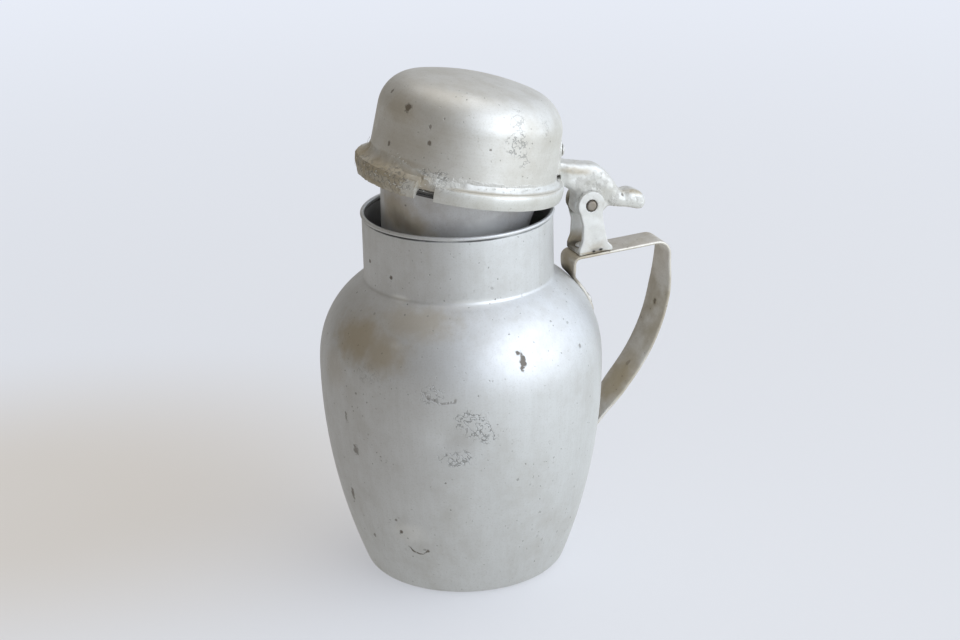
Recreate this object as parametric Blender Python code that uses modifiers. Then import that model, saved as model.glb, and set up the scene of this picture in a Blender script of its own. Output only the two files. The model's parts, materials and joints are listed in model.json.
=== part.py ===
"""Jug-shaped aluminium urine bottle with a strap handle and a hinged, domed lid.

Units are metres and +Z is up. The bottle stands on Z = 0 with the vessel's axis at the origin, and the
handle and the hinge lie on the +X side. The lid's pieces are modelled closed and hang on an empty on the
hinge axis, which is turned by LID_AJAR, so that the lid stands ajar at rest.
"""

from math import acos, asin, atan2, cos, hypot, pi, radians, sin, tan

import bmesh
import bpy
from mathutils import Matrix, Vector

# Clearances
GAP = 0.0003  # between pieces that touch
CUT_MARGIN = 0.004  # how far a cutter runs past what it cuts

# Vessel: a turned shell
BODY_WALL = 0.0012
FOOT_CORNER_RADIUS = 0.0052
FLANK_RADIUS = 0.255  # arc of the side, below the belly
BELLY_RADIUS = 0.063
BELLY_HEIGHT = 0.096
NECK_RADIUS = 0.0419
NECK_BOTTOM = 0.136  # height of the crease between shoulder and neck
NECK_LENGTH = 0.030
SHOULDER_SQUARENESS = 2.3  # 2 is an ellipse, more is squarer
RIM_BEAD_RADIUS = 0.0009

# Handle: one bent strip
STRAP_WIDTH = 0.0156
STRAP_THICKNESS = 0.0014
UPPER_TAB_DROP = 0.0191  # from the riser's foot down to the strip's upper end
RISER_STANDOFF = 0.0106  # from the neck to the upright stretch
HANDLE_TOP_RISE = 0.0010  # from the crease to the top run, at the riser
HANDLE_TOP_SLOPE = radians(3.0)
GRIP_REACH = 0.0370  # from the belly to the far bend
GRIP_LEAN = radians(4.0)  # of the upper grip, from the upright
GRIP_CORNER_DROP = 0.0427  # from the far bend to where the grip's two straight lines would cross
LOWER_TAB_TOP = 0.052
LOWER_TAB_END = 0.033
RISER_BEND_RADIUS = 0.0030
FAR_BEND_RADIUS = 0.0060
GRIP_BEND_RADIUS = 0.083
TAB_BEND_RADIUS = 0.0040

# Hinge
PIN_RADIUS = 0.0025
PIN_END = 0.0006  # that shows outside each ear
PIN_STANDOFF = 0.0189  # from the neck to the pin
PIN_DROP = 0.0051  # from the rim down to the pin
BRACKET_WIDTH = 0.0152
EAR_THICKNESS = 0.0023
EAR_HEAD_RADIUS = 0.0064
FOOT_THICKNESS = 0.0020
FOOT_BACK = 0.0059  # from the pin to the foot's edge on the neck side
FOOT_FRONT = 0.0102
WAIST_BACK = 0.0039
WAIST_FRONT = 0.0061
WAIST_DROP = 0.0095  # from the pin to the waist's middle
FOOT_EDGE_BACK = 0.0025  # height of the foot's upright edges
FOOT_EDGE_FRONT = 0.0017
FLARE_RISE_BACK = 0.0063  # from the foot's underside to where the ears flare out to it
FLARE_RISE_FRONT = 0.0042
FLARE_SPREAD_BACK = 0.0004  # of the flare at that height, from the waist
FLARE_SPREAD_FRONT = 0.0016
FOOT_RIVET_SPACING = 0.0075

# Lid, closed: dome, sleeve and rim band
LID_WALL = 0.0010
LID_SEAT_GAP = 0.0004  # from the rim to the lid at its closed stop
LID_OFFSET = 0.0006  # of the lid's axis from the vessel's, away from the hinge
DOME_INSET = 0.0005  # of the dome's foot from the neck's outside
DOME_TAPER = 0.0010  # between the flange and the corner
DOME_WALL_HEIGHT = 0.0286  # from the rim to the corner's start
DOME_CORNER_RADIUS = 0.0165
DOME_CORNER_ANGLE = radians(75.0)
SLEEVE_CLEARANCE = 0.0055  # from the neck's inside, at the rim
SLEEVE_TAPER = 0.0046
SLEEVE_DEPTH = 0.0270  # below the rim
BAND_HEIGHT = 0.0076
BAND_SKIRT = 0.0007  # how far the band reaches below the rim
BAND_WALL = 0.0012
BAND_LIP = 0.0004  # how far the lip reaches in under the flanges
BAND_TOP_EDGE = 0.0012  # width of the flat top beside the dome
BAND_SHOULDER_INSET = 0.0010  # of the slope's break, from the outside
BAND_SHOULDER_RISE = 0.0018  # of the slope's break, above the roof
BAND_CHAMFER = 0.0005  # at the lower outer edge
BAND_BREAK_WIDTH = 0.0065
BAND_BREAK_AZIMUTH = radians(230.0)

# Lever casting on the lid
ARM_WIDTH = 0.0100
ARM_EDGE = 0.0022
KNUCKLE_RADIUS = 0.0062
THUMB_REACH = 0.0284  # from the pin to the tip
THUMB_TOP = 0.0076
THUMB_BOTTOM = -0.0007
ARM_TOP = 0.0178  # above the pin
ARM_TOP_REACH = 0.0045  # from the pin to where the top run would end
ARM_UNDERSIDE = 0.0105  # above the pin, at the dome
ARM_THROAT = 0.0045  # above the pin, where the underside turns down to the knuckle
ARM_THROAT_BACK = 0.0006  # of the throat behind the knuckle
SADDLE_REACH = 0.0150  # from the pin to the dip between arm and thumb tab
SADDLE_HEIGHT = 0.0062
THUMB_CROWN_REACH = 0.0205
THUMB_TIP_SLANT = 0.0016  # of the tip's upper corner, back from the tip
THUMB_TIP_FALL = 0.0008  # of the same corner, below the crown
THUMB_ROOT_REACH = 0.0095
THUMB_ROOT_RISE = 0.0003
KNUCKLE_ROUNDNESS = 0.8  # share of the knuckle's radius that its corners get
ARM_BEND_RADIUS = 0.0140
SADDLE_BEND_RADIUS = 0.0040
TIP_TOP_RADIUS = 0.0035
TIP_BOTTOM_RADIUS = 0.0030
ROOT_BEND_RADIUS = 0.0020
THROAT_BEND_RADIUS = 0.0030
PAD_WIDTH = 0.0150
PAD_THICKNESS = 0.0023
PAD_RISE = 0.0105  # straight sides, below the round top
PAD_RIVET_SPACING = 0.0078
PAD_RIVET_RISE = 0.0108

# Rivets
SHANK_RADIUS = 0.0016
HEAD_RADIUS = 0.0029
HEAD_HEIGHT = 0.0012
TAIL_RADIUS = 0.0024
TAIL_HEIGHT = 0.0009
SHOULDER_RIVET_DROP = 0.0144  # from the riser's foot
WALL_RIVET_HEIGHTS = {"wall_rivet_upper": 0.0465, "wall_rivet_lower": 0.0375}

# Pose and fineness
LID_AJAR = radians(11.0)
ROUND_STEPS = 48  # around the large turned pieces
SMALL_STEPS = 12  # around rivets

# Derived sizes
RIM_HEIGHT = NECK_BOTTOM + NECK_LENGTH
RIM_RADIUS = NECK_RADIUS - BODY_WALL + 2 * RIM_BEAD_RADIUS
RISER_X = NECK_RADIUS + RISER_STANDOFF
PIN_X = NECK_RADIUS + PIN_STANDOFF
PIN_Z = RIM_HEIGHT - PIN_DROP
PIN_CENTRE = (PIN_X, 0.0, PIN_Z)
ACROSS = (0.0, 1.0, 0.0)  # the hinge axis
SEAT_Z = RIM_HEIGHT + LID_SEAT_GAP  # underside of the closed lid
DOME_FLANGE_Z = SEAT_Z + LID_WALL + GAP
BAND_ROOF_Z = DOME_FLANGE_Z + LID_WALL + GAP
BAND_TOP_Z = RIM_HEIGHT - BAND_SKIRT + BAND_HEIGHT
DOME_RADIUS = NECK_RADIUS - DOME_INSET
DOME_TOP_RADIUS = DOME_RADIUS - DOME_TAPER
SLEEVE_TOP_RADIUS = NECK_RADIUS - BODY_WALL - SLEEVE_CLEARANCE
SLEEVE_BOTTOM_RADIUS = SLEEVE_TOP_RADIUS - SLEEVE_TAPER
LIP_RADIUS = RIM_RADIUS + LID_OFFSET + LID_SEAT_GAP
BAND_INNER_RADIUS = LIP_RADIUS + BAND_LIP
BAND_OUTER_RADIUS = BAND_INNER_RADIUS + BAND_WALL
FLANGE_RADIUS = BAND_INNER_RADIUS - GAP
DOME_CORNER_Z = RIM_HEIGHT + DOME_WALL_HEIGHT
PAD_BOTTOM_Z = BAND_TOP_Z + 2 * GAP

COLOURS = {
    "satin_aluminium": ((0.60, 0.60, 0.58), 0.38),
    "dull_aluminium": ((0.46, 0.44, 0.40), 0.50),
    "cast_aluminium": ((0.66, 0.66, 0.64), 0.62),
    "dark_aluminium": ((0.36, 0.37, 0.38), 0.42),
    "pin_metal": ((0.42, 0.38, 0.35), 0.55),
}


def clear_scene():
    """Remove every object, so that the script starts from an empty scene."""
    for item in list(bpy.data.objects):
        bpy.data.objects.remove(item, do_unlink=True)


def make_collection(name):
    """Return a new collection, linked to the scene."""
    collection = bpy.data.collections.new(name)
    bpy.context.scene.collection.children.link(collection)
    return collection


def finish(name, kind):
    """Return a metal material of its own for one piece."""
    colour, roughness = COLOURS[kind]
    material = bpy.data.materials.new(f"{name}_{kind}")
    material.use_nodes = True
    shader = material.node_tree.nodes["Principled BSDF"]
    shader.inputs["Base Color"].default_value = (*colour, 1.0)
    shader.inputs["Roughness"].default_value = roughness
    shader.inputs["Metallic"].default_value = 1.0
    return material


# Outlines: lists of (x, z) points in the XZ plane


def arc(centre, radius, start, end, steps):
    """Return the points of an arc, both ends included. Angles run from +X towards +Z."""
    turn = (end - start) / steps
    return [
        (centre[0] + radius * cos(start + turn * i), centre[1] + radius * sin(start + turn * i))
        for i in range(steps + 1)
    ]


def offset(points, distance):
    """Return the line moved to its right-hand side by distance, with mitred corners."""
    normals = [
        ((z1 - z0) / hypot(x1 - x0, z1 - z0), (x0 - x1) / hypot(x1 - x0, z1 - z0))
        for (x0, z0), (x1, z1) in zip(points, points[1:])
    ]
    before = [normals[0]] + normals
    after = normals + [normals[-1]]
    moved = []
    for (x, z), a, b in zip(points, before, after):
        mitre = distance / (1.0 + a[0] * b[0] + a[1] * b[1])
        moved.append((x + (a[0] + b[0]) * mitre, z + (a[1] + b[1]) * mitre))
    return moved


def fillet(before, corner, after, radius, steps):
    """Return the points of the arc that rounds a corner."""
    start = Vector(before) - Vector(corner)
    end = Vector(after) - Vector(corner)
    start.normalize()
    end.normalize()
    half = start.angle(end) / 2
    centre = Vector(corner) + (start + end).normalized() * radius / sin(half)
    first = Vector(corner) + start * radius / tan(half) - centre
    last = Vector(corner) + end * radius / tan(half) - centre
    begin = atan2(first.y, first.x)
    sweep = (atan2(last.y, last.x) - begin + pi) % (2 * pi) - pi
    return arc(centre, radius, begin, begin + sweep, steps)


def rounded(corners, closed=True, steps=5):
    """Return the line through (x, z, radius) corners, with each corner rounded by its radius."""
    points = []
    last = len(corners) - 1
    for i, (x, z, radius) in enumerate(corners):
        at_end = not closed and i in (0, last)
        if at_end or radius == 0:
            points.append((x, z))
            continue
        points += fillet(corners[i - 1][:2], (x, z), corners[(i + 1) % len(corners)][:2], radius, steps)
    return points


def body_outline():
    """Return the vessel's outer outline, from the base's centre out and up to the crease."""
    side_centre = (BELLY_RADIUS - FLANK_RADIUS, BELLY_HEIGHT)
    reach = FLANK_RADIUS - FOOT_CORNER_RADIUS
    lean = -asin((BELLY_HEIGHT - FOOT_CORNER_RADIUS) / reach)
    foot_centre = (side_centre[0] + reach * cos(lean), FOOT_CORNER_RADIUS)
    foot = arc(foot_centre, FOOT_CORNER_RADIUS, -pi / 2, lean, 4)
    flank = arc(side_centre, FLANK_RADIUS, lean, 0.0, 8)
    power = SHOULDER_SQUARENESS
    rise = NECK_BOTTOM - BELLY_HEIGHT
    full_rise = rise / (1 - (NECK_RADIUS / BELLY_RADIUS) ** power) ** (1 / power)
    shoulder = []
    for i in range(1, 12):
        share = sin(pi / 2 * i / 11)
        height = rise * share
        radius = BELLY_RADIUS * (1 - (height / full_rise) ** power) ** (1 / power)
        shoulder.append((radius, BELLY_HEIGHT + height))
    return [(0.0, 0.0)] + foot + flank[1:] + shoulder


def on_body(height, distance):
    """Return the point that lies distance outside the wall at a height, and the wall's normal there."""
    for (x0, z0), (x1, z1) in zip(BODY, BODY[1:]):
        if z0 < height <= z1:
            x = x0 + (x1 - x0) * (height - z0) / (z1 - z0)
            normal = Vector((z1 - z0, 0.0, x0 - x1)).normalized()
            return Vector((x, 0.0, height)) + normal * distance, normal
    raise ValueError(f"no wall at height {height}")


def dome_outline():
    """Return the dome's outer outline, from its top down to the flange."""
    corner_centre = (DOME_TOP_RADIUS - DOME_CORNER_RADIUS, DOME_CORNER_Z)
    corner = arc(corner_centre, DOME_CORNER_RADIUS, DOME_CORNER_ANGLE, 0.0, 7)
    slope = pi / 2 - DOME_CORNER_ANGLE
    crown_radius = corner[0][0] / sin(slope)
    crown_centre = (0.0, corner[0][1] - crown_radius * cos(slope))
    crown = arc(crown_centre, crown_radius, pi / 2, DOME_CORNER_ANGLE, 4)
    return crown[:-1] + corner + [(DOME_RADIUS, DOME_FLANGE_Z + LID_WALL)]


def riser_foot():
    """Return the height at which the strip leaves the shoulder for the riser."""
    line = offset(BODY, GAP + STRAP_THICKNESS / 2)
    crossings = [
        z0 + (z1 - z0) * (x0 - RISER_X) / (x0 - x1)
        for (x0, z0), (x1, z1) in zip(line, line[1:])
        if x1 <= RISER_X < x0
    ]
    return crossings[-1]


def strap_path():
    """Return the middle line of the handle's strip, from the shoulder tab's end to the lower tab's end."""
    middle = GAP + STRAP_THICKNESS / 2
    reach_x = BELLY_RADIUS + GRIP_REACH
    tab_height = riser_foot() - UPPER_TAB_DROP
    tab = [point for point in offset(BODY, middle) if tab_height < point[1] < riser_foot()]
    tab_end = on_body(tab_height, middle)[0]
    corner_height = strap_height(reach_x) - GRIP_CORNER_DROP
    grip_x = reach_x - GRIP_CORNER_DROP * tan(GRIP_LEAN)
    lower = on_body(LOWER_TAB_TOP, middle)[0]
    lower_end = on_body(LOWER_TAB_END, middle)[0]
    bends = [
        (RISER_X, riser_foot(), 0),
        (RISER_X, strap_height(RISER_X), RISER_BEND_RADIUS),
        (reach_x, strap_height(reach_x), FAR_BEND_RADIUS),
        (grip_x, corner_height, GRIP_BEND_RADIUS),
        (lower.x, lower.z, TAB_BEND_RADIUS),
        (lower_end.x, lower_end.z, 0),
    ]
    return [(tab_end.x, tab_end.z)] + tab + rounded(bends, closed=False, steps=8)


def strap_height(x):
    """Return the height of the strip's middle line along its top run."""
    return NECK_BOTTOM + HANDLE_TOP_RISE + (x - RISER_X) * tan(HANDLE_TOP_SLOPE)


BODY = body_outline()


# Solids


def place(item, collection, parent=None):
    """Link an object, and hang it on its parent as that stands when the lid is closed."""
    collection.objects.link(item)
    if parent:
        item.parent = parent
        item.matrix_parent_inverse = Matrix.Translation(-parent.location)
    return item


def line_mesh(name, points, closed):
    """Return a mesh of edges through (x, z) points."""
    edges = [(i, i + 1) for i in range(len(points) - 1)]
    if closed:
        edges.append((len(points) - 1, 0))
    mesh = bpy.data.meshes.new(name)
    mesh.from_pydata([(x, 0.0, z) for x, z in points], edges, [])
    return mesh


def turned(name, profile, collection, parent=None, closed=False, steps=ROUND_STEPS, centre_x=0.0):
    """Return a turned solid on an upright axis at centre_x. Its profile runs down its outer side."""
    item = place(bpy.data.objects.new(name, line_mesh(name, profile, closed)), collection, parent)
    item.location.x = centre_x
    screw = item.modifiers.new("Turn", "SCREW")
    screw.axis = "Z"
    screw.angle = 2 * pi
    screw.steps = steps
    screw.render_steps = steps
    screw.use_merge_vertices = True
    screw.merge_threshold = 0.00001
    screw.use_smooth_shade = True
    return item


def as_mesh(item, collection, parent=None):
    """Return a mesh copy of a curve object, with its caps welded, and remove the curve."""
    bpy.context.view_layer.update()
    evaluated = item.evaluated_get(bpy.context.evaluated_depsgraph_get())
    mesh = bpy.data.meshes.new_from_object(evaluated)
    matrix = item.matrix_world.copy()
    name = item.name
    bpy.data.objects.remove(item, do_unlink=True)
    shape = bmesh.new()
    shape.from_mesh(mesh)
    bmesh.ops.remove_doubles(shape, verts=shape.verts, dist=0.000001)
    shape.to_mesh(mesh)
    shape.free()
    solid = place(bpy.data.objects.new(name, mesh), collection, parent)
    solid.matrix_basis = matrix
    return solid


def plate(name, outline, thickness, turn, collection, parent=None):
    """Return a flat plate of an outline, centred on its own plane and turned by a rotation matrix."""
    curve = bpy.data.curves.new(name, "CURVE")
    curve.dimensions = "2D"
    curve.fill_mode = "BOTH"
    curve.extrude = thickness / 2
    spline = curve.splines.new("POLY")
    spline.points.add(len(outline) - 1)
    for point, (x, z) in zip(spline.points, outline):
        point.co = (x, z, 0.0, 1.0)
    spline.use_cyclic_u = True
    item = bpy.data.objects.new(name, curve)
    item.matrix_world = turn
    bpy.context.scene.collection.objects.link(item)
    return as_mesh(item, collection, parent)


def upright():
    """Return the rotation that stands a flat outline up in the XZ plane."""
    return Matrix.Rotation(pi / 2, 4, "X")


def combine(target, tool, operation):
    """Cut, join or intersect an object with a tool that stays hidden."""
    tool.hide_render = True
    tool.display_type = "WIRE"
    boolean = target.modifiers.new(tool.name, "BOOLEAN")
    boolean.operation = operation
    boolean.solver = "EXACT"
    boolean.object = tool


def rod(name, radius, length, centre, direction, collection, parent=None, steps=24):
    """Return a cylinder about a direction."""
    shape = bmesh.new()
    bmesh.ops.create_cone(
        shape, cap_ends=True, segments=steps, radius1=radius, radius2=radius, depth=length
    )
    mesh = bpy.data.meshes.new(name)
    shape.to_mesh(mesh)
    shape.free()
    item = place(bpy.data.objects.new(name, mesh), collection, parent)
    item.location = centre
    item.rotation_mode = "QUATERNION"
    item.rotation_quaternion = Vector(direction).to_track_quat("Z", "Y")
    return item


def drill(targets, name, radius, length, centre, direction, parent=None):
    """Cut a round hole through each target."""
    cutter = rod(f"{name}_cutter", radius, length, centre, direction, CUTTERS, parent)
    for target in targets:
        combine(target, cutter, "DIFFERENCE")


def rivet(name, seat, direction, grip, through, parent=None):
    """Fit a rivet whose head sits at a point of the outer face, and drill what it holds.

    The grip is the thickness of everything between the head and the tail.
    """
    head = GAP
    tail = -grip - GAP
    dome = [(HEAD_RADIUS * sin(t), head + HEAD_HEIGHT * cos(t)) for t in (0.0, 0.45, 0.9, 1.3, pi / 2)]
    profile = dome + [
        (SHANK_RADIUS, head),
        (SHANK_RADIUS, tail),
        (TAIL_RADIUS, tail),
        (TAIL_RADIUS * 0.75, tail - TAIL_HEIGHT),
        (0.0, tail - TAIL_HEIGHT),
    ]
    item = turned(name, profile, PARTS, parent, steps=SMALL_STEPS)
    item.location = seat
    item.rotation_mode = "QUATERNION"
    item.rotation_quaternion = Vector(direction).to_track_quat("Z", "Y")
    item.data.materials.append(finish(name, "satin_aluminium"))
    middle = Vector(seat) - Vector(direction) * grip / 2
    drill(through, name, SHANK_RADIUS + GAP, grip + 2 * CUT_MARGIN, middle, direction, parent)


# Pieces


def make_vessel():
    """The spun body, with a small bead rolled at the rim."""
    bead = (RIM_RADIUS - RIM_BEAD_RADIUS, RIM_HEIGHT - RIM_BEAD_RADIUS)
    seam = -acos((NECK_RADIUS - bead[0]) / RIM_BEAD_RADIUS)
    over_the_rim = arc(bead, RIM_BEAD_RADIUS, pi, seam, 8)
    outside = BODY[::-1]
    inside = offset(BODY, -BODY_WALL)
    inside[0] = (0.0, BODY_WALL)
    vessel = turned("vessel", inside + over_the_rim + outside, PARTS)
    vessel.data.materials.append(finish("vessel", "satin_aluminium"))
    return vessel


def make_strap():
    """The handle's strip: a ribbon along its path, thickened both ways."""
    path = strap_path()
    half = STRAP_WIDTH / 2
    ribbon = bmesh.new()
    rows = [[ribbon.verts.new((x, y, z)) for y in (-half, half)] for x, z in path]
    for (a, b), (c, d) in zip(rows, rows[1:]):
        ribbon.faces.new((a, b, d, c))
    mesh = bpy.data.meshes.new("handle_strap")
    ribbon.to_mesh(mesh)
    ribbon.free()
    strap = place(bpy.data.objects.new("handle_strap", mesh), PARTS)
    solidify = strap.modifiers.new("Thickness", "SOLIDIFY")
    solidify.thickness = STRAP_THICKNESS
    solidify.offset = 0.0
    solidify.use_even_offset = True
    strap.data.materials.append(finish("handle_strap", "dull_aluminium"))
    return strap


def make_bracket():
    """The clevis: one block of its side outline, slotted to leave a foot and two ears."""
    surface = STRAP_THICKNESS / 2 / cos(HANDLE_TOP_SLOPE) + GAP
    back, front = PIN_X - FOOT_BACK, PIN_X + FOOT_FRONT
    back_z = strap_height(back) + surface
    front_z = strap_height(front) + surface
    head = arc((PIN_X, PIN_Z), EAR_HEAD_RADIUS, radians(-35), radians(215), 16)
    outline = head + [
        (PIN_X - WAIST_BACK, PIN_Z - WAIST_DROP),
        (PIN_X - WAIST_BACK - FLARE_SPREAD_BACK, back_z + FLARE_RISE_BACK),
        (back, back_z + FOOT_EDGE_BACK),
        (back, back_z),
        (front, front_z),
        (front, front_z + FOOT_EDGE_FRONT),
        (PIN_X + WAIST_FRONT + FLARE_SPREAD_FRONT, front_z + FLARE_RISE_FRONT),
        (PIN_X + WAIST_FRONT, PIN_Z - WAIST_DROP),
    ]
    bracket = plate("hinge_bracket", outline, BRACKET_WIDTH, upright(), PARTS)
    bracket.data.materials.append(finish("hinge_bracket", "cast_aluminium"))
    past, over = CUT_MARGIN, PIN_Z + EAR_HEAD_RADIUS + CUT_MARGIN
    rise = tan(HANDLE_TOP_SLOPE) * past
    slot_outline = [
        (back - past, back_z + FOOT_THICKNESS - rise),
        (front + past, front_z + FOOT_THICKNESS + rise),
        (front + past, over),
        (back - past, over),
    ]
    slot = plate("ear_slot_cutter", slot_outline, BRACKET_WIDTH - 2 * EAR_THICKNESS, upright(), CUTTERS)
    combine(bracket, slot, "DIFFERENCE")
    return bracket


def make_pin():
    """The hinge pin, which shows at both ears."""
    length = BRACKET_WIDTH + 2 * PIN_END
    pin = rod("hinge_pin", PIN_RADIUS, length, PIN_CENTRE, ACROSS, PARTS)
    bevel = pin.modifiers.new("Peened edge", "BEVEL")
    bevel.width = PIN_END / 2
    bevel.segments = 1
    bevel.limit_method = "ANGLE"
    pin.data.materials.append(finish("hinge_pin", "pin_metal"))
    return pin


def make_dome(hinge):
    """The spun dome, with its edge turned out into a flange."""
    outside = dome_outline()
    inside = offset(outside, LID_WALL)[::-1]
    inside[-1] = (0.0, outside[0][1] - LID_WALL)
    inside[0] = (DOME_RADIUS - LID_WALL, DOME_FLANGE_Z)
    flange = [(FLANGE_RADIUS, DOME_FLANGE_Z + LID_WALL), (FLANGE_RADIUS, DOME_FLANGE_Z)]
    dome = turned("lid_dome", outside + flange + inside, PARTS, hinge, centre_x=-LID_OFFSET)
    dome.data.materials.append(finish("lid_dome", "satin_aluminium"))
    return dome


def make_sleeve(hinge):
    """The tapered tube under the dome's flange, which hangs into the neck."""
    bottom = RIM_HEIGHT - SLEEVE_DEPTH
    top = SEAT_Z + LID_WALL
    profile = [
        (FLANGE_RADIUS, top),
        (FLANGE_RADIUS, SEAT_Z),
        (SLEEVE_TOP_RADIUS, SEAT_Z),
        (SLEEVE_BOTTOM_RADIUS, bottom),
        (SLEEVE_BOTTOM_RADIUS - LID_WALL, bottom),
        (SLEEVE_TOP_RADIUS - LID_WALL, top),
    ]
    sleeve = turned("lid_sleeve", profile, PARTS, hinge, closed=True, centre_x=-LID_OFFSET)
    sleeve.data.materials.append(finish("lid_sleeve", "dark_aluminium"))


def make_band(hinge):
    """The rolled band that clasps both flanges. It is broken through at one place."""
    bottom = RIM_HEIGHT - BAND_SKIRT
    neck = DOME_RADIUS + GAP
    outer = BAND_OUTER_RADIUS
    profile = [
        (neck, BAND_TOP_Z),
        (neck + BAND_TOP_EDGE, BAND_TOP_Z),
        (outer - BAND_SHOULDER_INSET, BAND_ROOF_Z + BAND_SHOULDER_RISE),
        (outer, BAND_ROOF_Z),
        (outer, bottom + BAND_CHAMFER),
        (outer - BAND_CHAMFER, bottom),
        (LIP_RADIUS, bottom),
        (LIP_RADIUS, SEAT_Z - GAP),
        (BAND_INNER_RADIUS, SEAT_Z - GAP),
        (BAND_INNER_RADIUS, BAND_ROOF_Z),
        (neck, BAND_ROOF_Z),
    ]
    band = turned("lid_rim_band", profile, PARTS, hinge, closed=True, centre_x=-LID_OFFSET)
    band.data.materials.append(finish("lid_rim_band", "cast_aluminium"))
    half = BAND_BREAK_WIDTH / 2
    near, far = DOME_RADIUS - CUT_MARGIN, BAND_OUTER_RADIUS + CUT_MARGIN
    outline = [(near, -half), (far, -half), (far, half), (near, half)]
    middle_z = bottom + BAND_HEIGHT / 2
    turn = Matrix.Translation((-LID_OFFSET, 0.0, middle_z)) @ Matrix.Rotation(BAND_BREAK_AZIMUTH, 4, "Z")
    cutter = plate("band_break_cutter", outline, BAND_HEIGHT + CUT_MARGIN, turn, CUTTERS, hinge)
    combine(band, cutter, "DIFFERENCE")


def make_arm(hinge):
    """The lever casting: a pad on the dome, a knuckle on the pin and a thumb tab."""
    into_dome = DOME_RADIUS - LID_OFFSET - PIN_X - CUT_MARGIN
    knuckle_bend = KNUCKLE_RADIUS * KNUCKLE_ROUNDNESS
    corners = [
        (into_dome, ARM_TOP, 0),
        (ARM_TOP_REACH, ARM_TOP, ARM_BEND_RADIUS),
        (SADDLE_REACH, SADDLE_HEIGHT, SADDLE_BEND_RADIUS),
        (THUMB_CROWN_REACH, THUMB_TOP, SADDLE_BEND_RADIUS),
        (THUMB_REACH - THUMB_TIP_SLANT, THUMB_TOP - THUMB_TIP_FALL, TIP_TOP_RADIUS),
        (THUMB_REACH, THUMB_BOTTOM, TIP_BOTTOM_RADIUS),
        (THUMB_ROOT_REACH, THUMB_BOTTOM + THUMB_ROOT_RISE, ROOT_BEND_RADIUS),
        (KNUCKLE_RADIUS, -KNUCKLE_RADIUS, knuckle_bend),
        (-KNUCKLE_RADIUS, -KNUCKLE_RADIUS, knuckle_bend),
        (-KNUCKLE_RADIUS - ARM_THROAT_BACK, ARM_THROAT, THROAT_BEND_RADIUS),
        (into_dome, ARM_UNDERSIDE, 0),
    ]
    outline = [(PIN_X + x, PIN_Z + z) for x, z in rounded(corners)]
    arm = plate("hinge_arm", outline, ARM_WIDTH, upright(), PARTS, hinge)
    bevel = arm.modifiers.new("Soft edges", "BEVEL")
    bevel.width = ARM_EDGE
    bevel.segments = 2
    bevel.limit_method = "ANGLE"
    bevel.angle_limit = radians(60)

    # The pad is a leaf cut from a ring around the dome.
    ring = turned("pad_ring_cutter", pad_ring_profile(), CUTTERS, hinge, closed=True, centre_x=-LID_OFFSET)
    half = PAD_WIDTH / 2
    top = arc((0.0, PAD_BOTTOM_Z + PAD_RISE), half, 0.0, pi, 10)
    leaf = top + [(-half, PAD_BOTTOM_Z), (half, PAD_BOTTOM_Z)]
    ahead = Matrix.Translation((DOME_RADIUS - LID_OFFSET, 0.0, 0.0))
    facing = ahead @ Matrix.Rotation(pi / 2, 4, "Z") @ Matrix.Rotation(pi / 2, 4, "X")
    pad = plate("pad_blank", leaf, 4 * PAD_THICKNESS, facing, CUTTERS, hinge)
    combine(pad, ring, "INTERSECT")
    combine(arm, pad, "UNION")

    room = turned("lid_room_cutter", lid_room_profile(), CUTTERS, hinge, centre_x=-LID_OFFSET)
    combine(arm, room, "DIFFERENCE")
    drill([arm], "knuckle_bore", PIN_RADIUS + GAP, ARM_WIDTH + CUT_MARGIN, PIN_CENTRE, ACROSS, hinge)
    arm.data.materials.append(finish("hinge_arm", "cast_aluminium"))
    return arm


def dome_wall(height):
    """Return the dome's outer radius at a height of its straight wall."""
    low = DOME_FLANGE_Z + LID_WALL
    share = (height - low) / (DOME_CORNER_Z - low)
    return DOME_RADIUS + (DOME_TOP_RADIUS - DOME_RADIUS) * share


def pad_ring_profile():
    """Return the section of the ring that the pad is cut from."""
    low, high = PAD_BOTTOM_Z - CUT_MARGIN, DOME_CORNER_Z
    outer = GAP + PAD_THICKNESS
    return [
        (dome_wall(high) + outer, high),
        (dome_wall(low) + outer, low),
        (dome_wall(low) + GAP / 2, low),
        (dome_wall(high) + GAP / 2, high),
    ]


def lid_room_profile():
    """Return the outline of the dome and the band with their clearance, which the arm stays out of."""
    high, low = DOME_CORNER_Z + CUT_MARGIN, RIM_HEIGHT - CUT_MARGIN
    beside_band = BAND_OUTER_RADIUS + GAP
    return [
        (0.0, high),
        (dome_wall(high) + GAP, high),
        (dome_wall(PAD_BOTTOM_Z) + GAP, PAD_BOTTOM_Z - GAP),
        (beside_band, PAD_BOTTOM_Z - GAP),
        (beside_band, low),
        (0.0, low),
    ]


def fasten_strap(vessel, strap):
    """Rivet both ends of the strip to the vessel's wall."""
    outer_face = GAP + STRAP_THICKNESS
    heights = {"shoulder_rivet": riser_foot() - SHOULDER_RIVET_DROP, **WALL_RIVET_HEIGHTS}
    for name, height in heights.items():
        seat, normal = on_body(height, outer_face)
        rivet(name, seat, normal, outer_face + BODY_WALL, [vessel, strap])


def fasten_bracket(strap, bracket):
    """Rivet the bracket's foot to the strip, between the ears."""
    normal = Vector((-sin(HANDLE_TOP_SLOPE), 0.0, cos(HANDLE_TOP_SLOPE)))
    middle = PIN_X + (FOOT_FRONT - FOOT_BACK) / 2
    grip = FOOT_THICKNESS + GAP + STRAP_THICKNESS
    for name, side in (("bracket_rivet_inner", -1), ("bracket_rivet_outer", 1)):
        x = middle + side * FOOT_RIVET_SPACING / 2
        seat = Vector((x, 0.0, strap_height(x))) + normal * (grip - STRAP_THICKNESS / 2)
        rivet(name, seat, normal, grip, [bracket, strap])


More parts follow.
